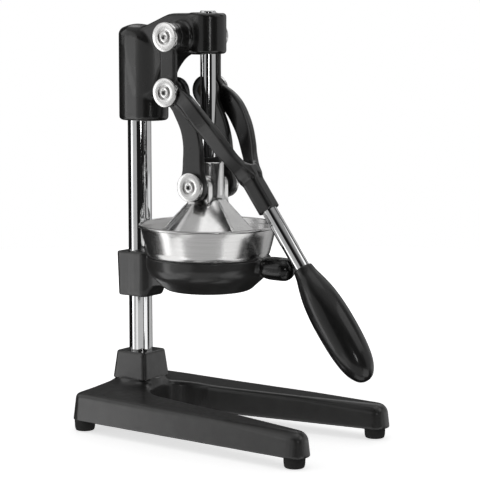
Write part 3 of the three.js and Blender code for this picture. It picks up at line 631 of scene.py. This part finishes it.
def add_foot_screw(node, place):
    """A pan-head screw, its head in the foot's recess, with a hexagon socket facing down."""
    profile = [
        (0, 3.4), (1.5, 3.4), (1.5, 1.5), (2.6, 1.5), (3.6, 1.75), (4.6, 2.6), (5, 3.4), (5, 4.2), (2.1, 4.2),
        (2.1, 24), (0, 24),
    ]

    def radius_at(index, angle, radius):
        return hexagon(1.6, angle) if index in (1, 2) else radius

    add_turned(node, profile, place, segments=48, radius_at=radius_at)


def add_column():
    low, high = BORE_LOW + 0.3, BORE_TOP - 0.3
    tube = softened([(10, low), (12.5, low, 0.6), (12.5, high, 0.6), (10, high)])
    add_turned("column_tube", tube, AT_COLUMN, closed=True)
    profile = [(0, 14), (7.2, 14), (8, 14.8), (8, 18), (4, 18), (4, 42), (0, 42)]

    def radius_at(index, angle, radius):
        return min(radius, hexagon(8, angle)) if index in (1, 2, 3) else radius

    add_turned("column_bolt", profile, AT_COLUMN, segments=60, radius_at=radius_at)
    washer = softened([(4.3, 18.3), (13, 18.3, 0.5), (13, 19.7, 0.5), (4.3, 19.7)], steps=3)
    add_turned("column_bolt_washer", washer, AT_COLUMN, closed=True)


# ------------------------------------------------------------------------------------------------------
# Head and guide rod
# ------------------------------------------------------------------------------------------------------
SLEEVE_R, SLEEVE_STRETCH, SLEEVE_LOW = 21.3, 12, 325
ROD_R, ROD_LOW, ROD_HIGH = 8, 256, 440
CAP_TOP, CAP_CROWN, BORE_TOP, HEAD_SCREW_Z, ROD_BORE, ROD_SCREW_Z = 426, 62, 410, 350, 8.15, 417
ARM_TOP, ARM_HALF_Y, BOSS_R, BOSS_LOW, PIVOT_BOSS_R, PIVOT_BOSS_Y = 437.5, 17, 19, 396, 14.5, 34.2
ARM_OUTLINE = softened([
    (-6, 405), (-2, 421), (16, 423, 8), (34, 430.2, 8), (50, 436.8, 9), (60, ARM_TOP, 6), (ROD_X, ARM_TOP),
    (ROD_X, BOSS_LOW), (62.5, BOSS_LOW, 4), (52.5, 391.2, 6), (40, 377, 16), (32.5, 352, 10), (10, 352),
])


def head_shape(x, y, z):
    """A sleeve over the column, and an arm to the boss that holds the rod, with the lever's pivot bosses."""
    cap = z - (CAP_TOP - ((x + 2) ** 2 + y**2) / CAP_CROWN)
    along = np.hypot(x - np.clip(x, 0, SLEEVE_STRETCH), y)
    sleeve = meet(edged(along - SLEEVE_R, cap, 4.5), SLEEVE_LOW - z, 5)
    arm = edged(polygon(x, z, ARM_OUTLINE), np.abs(y) - ARM_HALF_Y, 4.5)
    boss = edged(np.hypot(x - ROD_X, y) - BOSS_R, between(z, BOSS_LOW, ARM_TOP), 3.8)
    pivots = edged(np.hypot(x - LEVER_X, z - LEVER_Z) - PIVOT_BOSS_R, np.abs(y) - PIVOT_BOSS_Y, 1.0)
    body = unite(unite(sleeve, arm, 7), boss, 3)
    body = unite(body, pivots, 7)
    body = cut(body, meet(np.hypot(x, y) - BORE, z - BORE_TOP), 0.8)
    body = cut(body, np.hypot(x - ROD_X, y) - ROD_BORE, 0.8)
    body = cut(body, meet(np.hypot(y, z - HEAD_SCREW_Z) - SCREW_HOLE, x + 10), 0.6)
    return cut(body, meet(np.hypot(x - ROD_X, z - ROD_SCREW_Z) - SCREW_HOLE, 7 - y), 0.6)


def add_head():
    low, high = (-SLEEVE_R, -PIVOT_BOSS_Y, SLEEVE_LOW), (ROD_X + BOSS_R, PIVOT_BOSS_Y, ARM_TOP)
    add_casting("head_casting", head_shape, low, high, 1.1, AT_COLUMN)
    rod = softened([(0, ROD_LOW), (ROD_R, ROD_LOW, 1.0), (ROD_R, ROD_HIGH, 1.4), (0, ROD_HIGH)], closed=False)
    add_turned("guide_rod", rod, AT_ROD)


# ------------------------------------------------------------------------------------------------------
# Bracket, bumper, bowl and strainer
# ------------------------------------------------------------------------------------------------------
COLLAR_HALF, COLLAR_TOP_HALF, COLLAR_LOW, COLLAR_HIGH = 17.8, 18.9, 138, 185.5
RING_R, RING_HOLE_R, RING_FOOT_R, RING_HIGH, RING_BAND, RING_LOW = 65, 29, 47, 186.5, 176, 151.5
SEAT_R, SEAT_LOW, SEAT_FOOT_R, SEAT_FOOT_Z, SEAT_FLARE = 62.9, 154.7, 43, 157.2, 1.037
WEB_HALF_Y = 13.5
BUMPER_Z, BUMPER_TAIL, BUMPER_NECK_R = BUMPER_AXIS.z / MM, 160, 6.5
BRACKET_SCREW_Z = 161
RING_SECTION = softened([
    (RING_HOLE_R, SEAT_LOW, 0.8), (RING_HOLE_R, RING_LOW, 1.2), (RING_FOOT_R - 3, RING_LOW, 4),
    (RING_R - 3, 168, 5), (RING_R, RING_BAND, 2.5), (RING_R, RING_HIGH, 1.3), (SEAT_R, RING_HIGH, 0.7),
    (62.5, RING_BAND, 3), (SEAT_FOOT_R, SEAT_FOOT_Z, 4),
], steps=5)
WEB_OUTLINE = [(4, 143), (19, 143), (27, 150), (48, 153), (30, 184.4), (4, 184.4)]


def bracket_shape(x, y, z):
    """A collar on the column, with a web to the ring that carries the bowl, and a neck for the bumper."""
    half = COLLAR_HALF + (COLLAR_TOP_HALF - COLLAR_HALF) * (z - COLLAR_LOW) / (COLLAR_HIGH - COLLAR_LOW)
    collar = edged(square(x, y, half, 5), between(z, COLLAR_LOW, COLLAR_HIGH), 2)
    radius = np.hypot(x - ROD_X, y)
    web = edged(polygon(x, z, WEB_OUTLINE), np.abs(y) - WEB_HALF_Y, 2)
    seat = np.clip(SEAT_FOOT_R + (z - SEAT_FOOT_Z) * SEAT_FLARE, RING_HOLE_R, SEAT_R)
    hollow = np.minimum(meet(radius - RING_HOLE_R, RING_LOW - 12 - z), meet(radius - seat, SEAT_LOW - z))
    ring = polygon(radius, z, RING_SECTION)
    beside = np.hypot(y, z - BUMPER_Z) - BUMPER_NECK_R
    neck = edged(beside, between(x, ROD_X + RING_R - 2, BUMPER_TAIL - 0.3), 0.4)
    body = cut(unite(collar, web, 9), hollow)
    body = unite(unite(body, ring, 4), neck, 5)
    body = cut(body, hollow)
    body = cut(body, np.hypot(x, y) - BORE, 0.8)
    return cut(body, meet(np.hypot(y, z - BRACKET_SCREW_Z) - SCREW_HOLE, x + 10), 0.6)


def add_bracket():
    low, high = (-COLLAR_TOP_HALF, -RING_R, COLLAR_LOW), (BUMPER_TAIL, RING_R, RING_HIGH)
    add_casting("bracket_casting", bracket_shape, low, high, 1.15, AT_COLUMN)
    reach, nose_r = 36.2, 12
    foot = softened([(2.8, 0), (9, 0, 1.5), (11.6, 4.5, 4), (nose_r, 12)], closed=False)
    nose = [
        (nose_r * math.cos(a), reach - nose_r + nose_r * math.sin(a)) for a in np.linspace(0, math.pi / 2, 14)
    ]
    bumper = [(0, 12), (2.8, 12), *foot, *nose[:-1], (0, reach)]
    tail = Matrix.Translation(Vector((BUMPER_TAIL, 0, BUMPER_Z)) * MM + COLUMN_AXIS)
    add_turned("lever_bumper", bumper, tail @ Matrix.Rotation(math.pi / 2, 4, "Y"))


def add_bowl():
    """Spun sheet with a spout below and a rolled lip."""
    wall, roll_r, spout_r, spout_z = 1.2, 1.55, 24, 152
    outside = softened([
        (spout_r, spout_z), (spout_r, 157.2, 2), (42, 158.7, 4), (59, 174.5, 4), (62.2, 179, 2),
        (62.5, 187, 1.5), (64.6, 191.5, 3), (70, 214, 3), (70.5, 217.6),
    ], closed=False)
    roll = [
        (71.3 + roll_r * math.cos(a), 218.9 + roll_r * math.sin(a))
        for a in np.radians(np.linspace(-130, 175, 18))
    ]
    inside = [(radius - wall, z + wall * 0.5) for radius, z in reversed(outside[1:-1])]
    profile = [*outside, *roll, (69.4, 217.4), *inside, (spout_r - wall, spout_z)]
    add_turned("bowl", profile, AT_ROD, segments=160, closed=True)


FLANGE_R, FLANGE_LOW = 52, 172
CONE_ROOT_R, CONE_ROOT_Z, CONE_TIP, CONE_SLOPE, CONE_LEAN = 37, 182, 231, 0.6466, 1.19
CONE_SECTION = softened([
    (0, 229.5), (5.5, 226.8, 3), (33.5, 184, 3), (35.5, 176, 2), (37, FLANGE_LOW), (FLANGE_R, 175, 1),
    (FLANGE_R, 180, 0.5), (50.5, 180, 0.5), (50.5, 176.6, 1), (39, 174.2, 2), (CONE_ROOT_R, CONE_ROOT_Z, 4),
    (7, 228.4, 4), (0, CONE_TIP),
], steps=4)
RIBS, SLOTS = 12, 24


def strainer_shape(x, y, z):
    """A ribbed cone over a rimmed flange, with radial slots that let the juice through."""
    radius = np.hypot(x, y)
    angle = np.arctan2(y, x)
    shell = polygon(radius, z, CONE_SECTION)
    rib_turn = 2 * math.pi / RIBS
    across = radius * np.sin((angle + rib_turn / 2) % rib_turn - rib_turn / 2)
    cone = (radius - CONE_ROOT_R + (z - CONE_ROOT_Z) * CONE_SLOPE) / CONE_LEAN
    ribs = meet(np.hypot(across, cone) - 1.5, between(z, 180, 227), 1)
    slot_turn = 2 * math.pi / SLOTS
    beside = radius * np.sin(angle % slot_turn - slot_turn / 2)
    slots = edged(np.abs(beside) - 1.0, between(radius, 40.5, 49), 0.9)
    return cut(unite(shell, ribs, 2), slots, 0.3)


def add_strainer():
    low, high = (-FLANGE_R, -FLANGE_R, FLANGE_LOW), (FLANGE_R, FLANGE_R, CONE_TIP)
    add_casting("strainer_cone", strainer_shape, low, high, 0.8, AT_ROD)


# ------------------------------------------------------------------------------------------------------
# Set screws
# ------------------------------------------------------------------------------------------------------
def add_set_screw(node, length, turn, tip):
    """A headless screw with a hexagon socket in its outer end."""
    profile = [
        (0, 0), (1.8, 0), (3, 1.2), (3, length - 0.4), (2.6, length), (1.5, length), (1.5, length - 2),
        (0, length - 2.4),
    ]

    def radius_at(index, angle, radius):
        return hexagon(1.6, angle) if index in (5, 6) else radius

    place = Matrix.Translation(tip) @ turn
    add_turned(node, profile, place, segments=48, radius_at=radius_at)


def add_set_screws():
    """One behind the head, one behind the bracket, and one on the left of the guide rod's boss."""
    backwards = Matrix.Rotation(-math.pi / 2, 4, "Y")
    for node, length, z in (("head_set_screw", 8, HEAD_SCREW_Z), ("bracket_set_screw", 5.5, BRACKET_SCREW_Z)):
        add_set_screw(node, length, backwards, Vector((-BORE, 0, z)) * MM + COLUMN_AXIS)
    sideways = Matrix.Rotation(-math.pi / 2, 4, "X")
    add_set_screw("rod_set_screw", 9.5, sideways, Vector((0, ROD_BORE + 0.15, ROD_SCREW_Z)) * MM + ROD_AXIS)


# ------------------------------------------------------------------------------------------------------
# Lever: forked yoke, bar and grip
# ------------------------------------------------------------------------------------------------------
CRANK_S = (CRANK_X - LEVER_X) * math.cos(LEVER_TILT) - (CRANK_Z - LEVER_Z) * math.sin(LEVER_TILT)
CRANK_H = (CRANK_X - LEVER_X) * math.sin(LEVER_TILT) + (CRANK_Z - LEVER_Z) * math.cos(LEVER_TILT)
YOKE_IN, YOKE_OUT, EYE_R, EYE_BORE, ARM_HALF, CHAMFER = 34.5, 41.7, 14.5, 7.3, 10, 3
BAR_H = -22.7
SOCKET_START, SOCKET_END, SOCKET_SIDE = 150, 199, 9.5
GRIP_START, GRIP_END, GRIP_SHRINK = 268, 399, 0.995
BAR_R, TANG_R, TANG_START, TANG_END = 8, 5, 165, 340
UPPER_ARM = smooth_line([(0, 0, 10), (CRANK_S / 2, CRANK_H / 2, 9.6), (CRANK_S, CRANK_H, 10)], 10)
LOWER_ARM = smooth_line([
    (CRANK_S, CRANK_H, 10.5), (60, -25.7, 11.5), (74, -21.4, 11), (95, -19.7, 10.1), (109, -19.4, 9.4),
    (125, -20.4, 8.4), (138, -21.3, 7.3), (160, BAR_H, 8.6),
], 36)
ARM_PLAN = smooth_line([
    (-18, 38.1, 3.6), (20, 38.1, 3.6), (48, 38.1, 3.6), (64, 39.2, 4.2), (80, 38.5, 4.8), (96, 34.5, 5),
    (112, 28.6, 5), (128, 21.5, 5), (142, 14, 5.2), (154, 6, 6),
], 36)


def yoke_shape(s, y, h):
    """Two bowed arms from the pivot eyes to a square socket, each chamfered along its lower outer edge."""
    side = np.abs(y)
    upper, _ = ribbon(s, h, UPPER_ARM)
    lower, past_top = ribbon(s, h, LOWER_ARM)
    plan, past_outside = ribbon(s, side, ARM_PLAN)
    profile = unite(upper, lower, 6)
    arm = meet(profile, plan, 3.0)
    past_bottom = -past_top - 2 * ARM_HALF
    chamfer = (past_bottom + past_outside) * math.sqrt(0.5) + CHAMFER
    arm = meet(arm, np.where(s > CRANK_S + 8, chamfer, -9.0), 1.2)
    for eye_s, eye_h in ((0, 0), (CRANK_S, CRANK_H)):
        pad = edged(np.hypot(s - eye_s, h - eye_h) - EYE_R, between(side, YOKE_IN, YOKE_OUT), 0.9)
        arm = unite(arm, pad, 1.5)
    spot = meet(np.hypot(s - CRANK_S, h - CRANK_H) - 16, YOKE_OUT - side)
    arm = cut(arm, spot, 1.0)
    socket = edged(square(y, h - BAR_H, SOCKET_SIDE, 5), between(s, SOCKET_START, SOCKET_END), 0.9)
    body = unite(arm, socket, 7)
    body = cut(body, np.hypot(s, h) - EYE_BORE, 0.4)
    body = cut(body, np.hypot(s - CRANK_S, h - CRANK_H) - SCREW_HOLE, 0.3)
    return cut(body, meet(np.hypot(y, h - BAR_H) - TANG_R - 0.3, TANG_START - 0.3 - s), 0.4)


def add_lever():
    low, high = (-EYE_R, -44.5, CRANK_H - EYE_R), (SOCKET_END, 44.5, EYE_R)
    add_casting("yoke_casting", yoke_shape, low, high, 1.0, AT_LEVER, LEVER_TURN)
    along_lever = LEVER_TURN @ Matrix.Rotation(math.pi / 2, 3, "Y")
    bar_axis = Matrix.Translation(LEVER_AXIS + LEVER_TURN @ Vector((0, 0, BAR_H)) * MM)
    bar_end = GRIP_START + 6
    bar = [
        (0, TANG_START), (TANG_R, TANG_START), (TANG_R, SOCKET_END + 0.3), (BAR_R, SOCKET_END + 0.3),
        (BAR_R, bar_end), (TANG_R, bar_end), (TANG_R, TANG_END), (0, TANG_END),
    ]
    add_turned("handle_bar", bar, bar_axis, along_lever)
    swell = smooth_line([
        (10.6, 2.4), (11.9, 9), (15, 20), (18, 34), (19.9, 52), (20.3, 72), (19.6, 92), (17.6, 108),
        (14.4, 119), (9.5, 127), (4.5, 130.4), (0, 131),
    ], 66)
    swell = [(max(radius * GRIP_SHRINK, 0), GRIP_START + s) for radius, s in swell]
    collar = softened([
        (8.3, bar_end + 1.3), (8.3, GRIP_START, 0.5), (10.1, GRIP_START, 1.1), (10.6, GRIP_START + 2.4),
    ], closed=False)
    socket = [(0, TANG_END + 0.3), (TANG_R + 0.3, TANG_END + 0.3), (TANG_R + 0.3, bar_end + 1.3)]
    grip = [*socket, *collar, *swell[1:-1], (0, GRIP_END)]
    add_turned("grip", grip, bar_axis, along_lever)


# ------------------------------------------------------------------------------------------------------
# Pivot washers and screws
# ------------------------------------------------------------------------------------------------------
def add_pivot_hardware(name, axis_point, seat, tip):
    """A thick recessed washer and a socket screw on each side, facing outwards."""
    top, recess = seat + 4.3, seat + 1.3
    washer = softened([
        (3.4, seat), (15, seat, 0.3), (15, top, 1.1), (7.7, top, 0.3), (7.4, recess), (3.4, recess),
    ], steps=5)
    under = recess + 0.3
    face = under + 2.7
    screw = [
        (0, tip), (3, tip), (3, under), (5.6, under), (5.6, face - 0.7), (5.4, face - 0.25), (4.9, face),
        (3.0, face), (2.7, face - 0.3), (2.7, face - 2.5), (0, face - 2.6),
    ]

    def radius_at(index, angle, radius):
        return hexagon(radius, angle) if index in (8, 9) else radius

    for side, sign in SIDES.items():
        place = outward(axis_point, sign)
        add_turned(f"{name}_washer_{side}", washer, place, segments=96, closed=True)
        add_turned(f"{name}_screw_{side}", screw, place, segments=60, radius_at=radius_at)


# ------------------------------------------------------------------------------------------------------
# Links
# ------------------------------------------------------------------------------------------------------
LINK_LINE = smooth_line([
    (DOME_X, DOME_Z, 12.5), (90.2, 282, 11.9), (89.9, 303, 10.9), (85.4, 322, 10.3), (76.4, 340, 10.5),
    (CRANK_X, CRANK_Z, 11),
], 40)
LINK_IN, LINK_OUT, LINK_EYE_R = 22, 29.7, 15


def link_shape(x, side, z):
    """A curved plate with an eye at each end, thicker round the upper eye to meet the yoke."""
    band, _ = ribbon(x, z, LINK_LINE)
    for eye_x, eye_z in ((DOME_X, DOME_Z), (CRANK_X, CRANK_Z)):
        band = unite(band, np.hypot(x - eye_x, z - eye_z) - LINK_EYE_R, 7)
    plate = edged(band, between(side, LINK_IN, LINK_OUT), 1.6)
    boss = edged(np.hypot(x - CRANK_X, z - CRANK_Z) - 12, between(side, LINK_IN + 1, YOKE_IN - 0.3), 0.6)
    body = unite(plate, boss, 2.5)
    for eye_x, eye_z in ((DOME_X, DOME_Z), (CRANK_X, CRANK_Z)):
        body = cut(body, np.hypot(x - eye_x, z - eye_z) - EYE_BORE, 0.4)
    return body


def add_links():
    low_x, high_x = CRANK_X - LINK_EYE_R, DOME_X + LINK_EYE_R
    low_z, high_z = DOME_Z - LINK_EYE_R, CRANK_Z + LINK_EYE_R
    for side, sign in SIDES.items():
        low_y, high_y = sorted((sign * LINK_IN, sign * YOKE_IN))

        def shape(x, y, z, sign=sign):
            return link_shape(x, sign * y, z)

        add_casting(f"link_{side}", shape, (low_x, low_y, low_z), (high_x, high_y, high_z), 0.95, AT_COLUMN)


# ------------------------------------------------------------------------------------------------------
# Press dome
# ------------------------------------------------------------------------------------------------------
HUB_R, HUB_TOP, NECK_Z, SKIRT_R, SKIRT_LOW = 16.5, 285.5, 247, 51, 196
EAR_HALF_X, EAR_Y, EAR_SPACER_Y = 13, 18.2, 21.7
CONE_RUN = 0.9
FACET_ANGLE = math.radians(20)
HOLLOW_TOP, HOLLOW_R, BUSH_BORE, BUSH_LOW, DOME_BORE = 240, 47, 11.3, 249.7, 8.7


def dome_shape(x, y, z):
    """A bell on a hub, with arched side ears for the links and a flat facet down its front and back."""
    radius = np.hypot(x, y)
    lean = math.hypot(1, CONE_RUN)
    cone = (radius - HUB_R - 0.5 + CONE_RUN * (z - NECK_Z)) / lean
    facet = (np.abs(x) - HUB_R - 0.7 + CONE_RUN * (z - NECK_Z)) / lean
    sector = (np.abs(y) - np.abs(x) * math.tan(FACET_ANGLE)) * math.cos(FACET_ANGLE)
    bell = unite(cone, np.maximum(facet, sector), 0.5)
    bell = meet(bell, radius - SKIRT_R, 3.5)
    bell = meet(meet(bell, z - 255), SKIRT_LOW - z, 1.2)
    arch = np.hypot(x, np.maximum(z - DOME_Z, 0)) - EAR_HALF_X
    ears = meet(edged(arch, np.abs(y) - EAR_Y, 1.2), 236 - z)
    spacers = edged(np.hypot(x, z - DOME_Z) - 9, np.abs(y) - EAR_SPACER_Y, 0.5)
    hub = edged(radius - HUB_R, between(z, 236, HUB_TOP), 1.0)
    body = unite(unite(hub, ears, 1.6), bell, 2.2)
    body = unite(body, spacers, 0.8)
    inner = meet((radius - 14.5 + CONE_RUN * (z - HOLLOW_TOP)) / lean, radius - HOLLOW_R, 5)
    body = cut(body, meet(inner, z - HOLLOW_TOP, 2), 0.8)
    body = cut(body, meet(radius - BUSH_BORE, BUSH_LOW - z))
    body = cut(body, radius - DOME_BORE)
    return cut(body, meet(np.hypot(x, z - DOME_Z) - SCREW_HOLE, 13 - np.abs(y)), 0.3)


def add_press_dome():
    low, high = (-SKIRT_R, -SKIRT_R, SKIRT_LOW), (SKIRT_R, SKIRT_R, HUB_TOP)
    add_casting("press_dome", dome_shape, low, high, 1.0, AT_ROD)
    seal = softened([
        (8.3, 284.3), (10.7, 284.3), (10.7, 285.8), (12, 285.8, 0.4), (12, 289.5, 1.3), (8.3, 289.5, 0.3),
    ], steps=5)
    add_turned("rod_seal", seal, AT_ROD, closed=True)


add_base()
add_column()
add_head()
add_set_screws()
add_bracket()
add_bowl()
add_strainer()
add_lever()
add_pivot_hardware("lever_pivot", LEVER_AXIS, YOKE_OUT + 0.3, 16)
add_pivot_hardware("crank_pivot", CRANK_AXIS, YOKE_OUT + 0.3, YOKE_IN + 0.3)
add_pivot_hardware("dome_pivot", DOME_AXIS, LINK_OUT + 0.3, 15)
add_links()
add_press_dome()

# The other CAD nodes are small and mostly hidden: they stay, in the material of their slot.
for node_name, node in frame["nodes"].items():
    for material_slot in node.material_slots:
        material_slot.material = MATERIALS[SLOT_OF[node_name]]


# ------------------------------------------------------------------------------------------------------
# Studio
# ------------------------------------------------------------------------------------------------------
TARGET = Vector((-39.7, 61.2, 196.3)) * MM
CAMERA_AT = Vector((1073.6, -1528.2, 448.7)) * MM
VIEW_AZIMUTH = math.radians(35.01)
FLOOR_R = 1.5
PANEL_AIM = Vector((0, 0, 0.2))
PANEL_DISTANCE = 1.8


def add_camera():
    data = bpy.data.cameras.new("camera")
    data.lens = 137.24
    data.sensor_width = 36
    camera = bpy.data.objects.new("camera", data)
    camera.location = CAMERA_AT
    camera.rotation_euler = (TARGET - CAMERA_AT).to_track_quat("-Z", "Y").to_euler()
    bpy.context.scene.collection.objects.link(camera)
    bpy.context.scene.camera = camera


def add_panel(name, bearing, elevation, width, height, radiance):
    """A soft rectangular light facing the object. Bearing is in degrees to the right of the camera.

    The power follows from the radiance wanted, so that a panel looks equally bright at any size.
    """
    turn = math.radians(bearing) + VIEW_AZIMUTH
    rise = math.radians(elevation)
    away = Vector((math.sin(turn) * math.cos(rise), -math.cos(turn) * math.cos(rise), math.sin(rise)))
    data = bpy.data.lights.new(name, "AREA")
    data.shape = "RECTANGLE"
    data.size, data.size_y = width, height
    data.energy = math.pi * width * height * radiance
    light = bpy.data.objects.new(name, data)
    light.location = PANEL_AIM + away * PANEL_DISTANCE
    light.rotation_euler = (-away).to_track_quat("-Z", "Y").to_euler()
    light.visible_camera = False
    bpy.context.scene.collection.objects.link(light)


def add_floor():
    """A pale disc, brighter far out so that it runs into the white beyond it. It shows in no reflection."""
    s = Surface("pale_floor", Specular_IOR_Level=0.1)
    s.colour(s.noise(3, 2), (0.80, 0.80, 0.80), (0.84, 0.84, 0.84))
    s.roughness(s.noise(12, 3), 0.6, 0.75)
    s.shader.inputs["Emission Color"].default_value = (1, 1, 1, 1)
    s.link(s.spread(s.radial(), 0.15, FLOOR_R * 0.6, 0.68, 1.0), s.shader.inputs["Emission Strength"])
    points, faces = turned([(0, 0), (FLOOR_R / 2, 0), (FLOOR_R, 0)], segments=96)
    mesh = bpy.data.meshes.new("floor")
    mesh.from_pydata(points, [], faces)
    mesh.materials.append(s.material)
    floor = bpy.data.objects.new("floor", mesh)
    floor.location.z = -0.4 * MM
    floor.visible_diffuse = floor.visible_glossy = floor.visible_shadow = False
    bpy.context.scene.collection.objects.link(floor)


def add_world():
    """White to the eye, and a dim room with a pale ceiling to what it lights."""
    world = bpy.data.worlds.new("studio")
    world.use_nodes = True
    tree = world.node_tree
    seen = tree.nodes["Background"]
    seen.inputs["Color"].default_value = (1, 1, 1, 1)
    seen.inputs["Strength"].default_value = 1.0
    room = tree.nodes.new("ShaderNodeBackground")
    coords = tree.nodes.new("ShaderNodeTexCoord")
    split = tree.nodes.new("ShaderNodeSeparateXYZ")
    ramp = tree.nodes.new("ShaderNodeValToRGB")
    ramp.color_ramp.elements[0].position = 0.80
    ramp.color_ramp.elements[0].color = (0.01, 0.01, 0.01, 1)
    ramp.color_ramp.elements[1].position = 0.90
    ramp.color_ramp.elements[1].color = (0.40, 0.40, 0.40, 1)
    half = tree.nodes.new("ShaderNodeMath")
    half.operation = "MULTIPLY_ADD"
    half.inputs[1].default_value = 0.5
    half.inputs[2].default_value = 0.5
    path = tree.nodes.new("ShaderNodeLightPath")
    mix = tree.nodes.new("ShaderNodeMixShader")
    link = tree.links.new
    link(coords.outputs["Generated"], split.inputs["Vector"])
    link(split.outputs["Z"], half.inputs[0])
    link(half.outputs["Value"], ramp.inputs["Fac"])
    link(ramp.outputs["Color"], room.inputs["Color"])
    link(path.outputs["Is Camera Ray"], mix.inputs["Fac"])
    link(room.outputs["Background"], mix.inputs[1])
    link(seen.outputs["Background"], mix.inputs[2])
    link(mix.outputs["Shader"], tree.nodes["World Output"].inputs["Surface"])
    bpy.context.scene.world = world


add_camera()
add_floor()
add_world()
add_panel("left_strip", -82, -11, 0.47, 1.10, 2.00)
add_panel("left_front_softbox", -67, -4, 0.46, 1.40, 0.50)
add_panel("left_softbox", -90, 26, 1.87, 1.31, 0.77)
add_panel("left_reflector", -82, -39, 1.84, 0.70, 1.16)
add_panel("front_left_fill", -45, -2, 0.96, 1.76, 0.41)
add_panel("front_reflector", -12, -33, 2.60, 1.22, 0.48)
add_panel("right_reflector", 52, -31, 1.28, 1.24, 1.02)
add_panel("right_softbox", 68, 35, 1.22, 0.70, 0.94)
add_panel("right_fill", 90, 6, 2.07, 1.17, 0.42)
add_panel("right_lower_fill", 109, -12, 0.90, 0.60, 0.40)
add_panel("rear_right_fill", 135, 9, 0.96, 2.71, 0.42)
add_panel("boss_strip", 13, 8, 0.18, 0.34, 6.00)
add_panel("backdrop", 180, 16, 2.60, 1.20, 0.04)
add_panel("rear_softbox", 168, 46, 1.60, 0.90, 0.80)
add_panel("ceiling", 20, 80, 1.30, 1.10, 0.60)
add_panel("table_glow", 5, -74, 1.50, 1.10, 0.75)
bpy.context.scene.view_settings.view_transform = "Standard"
bpy.context.scene.view_settings.look = "None"
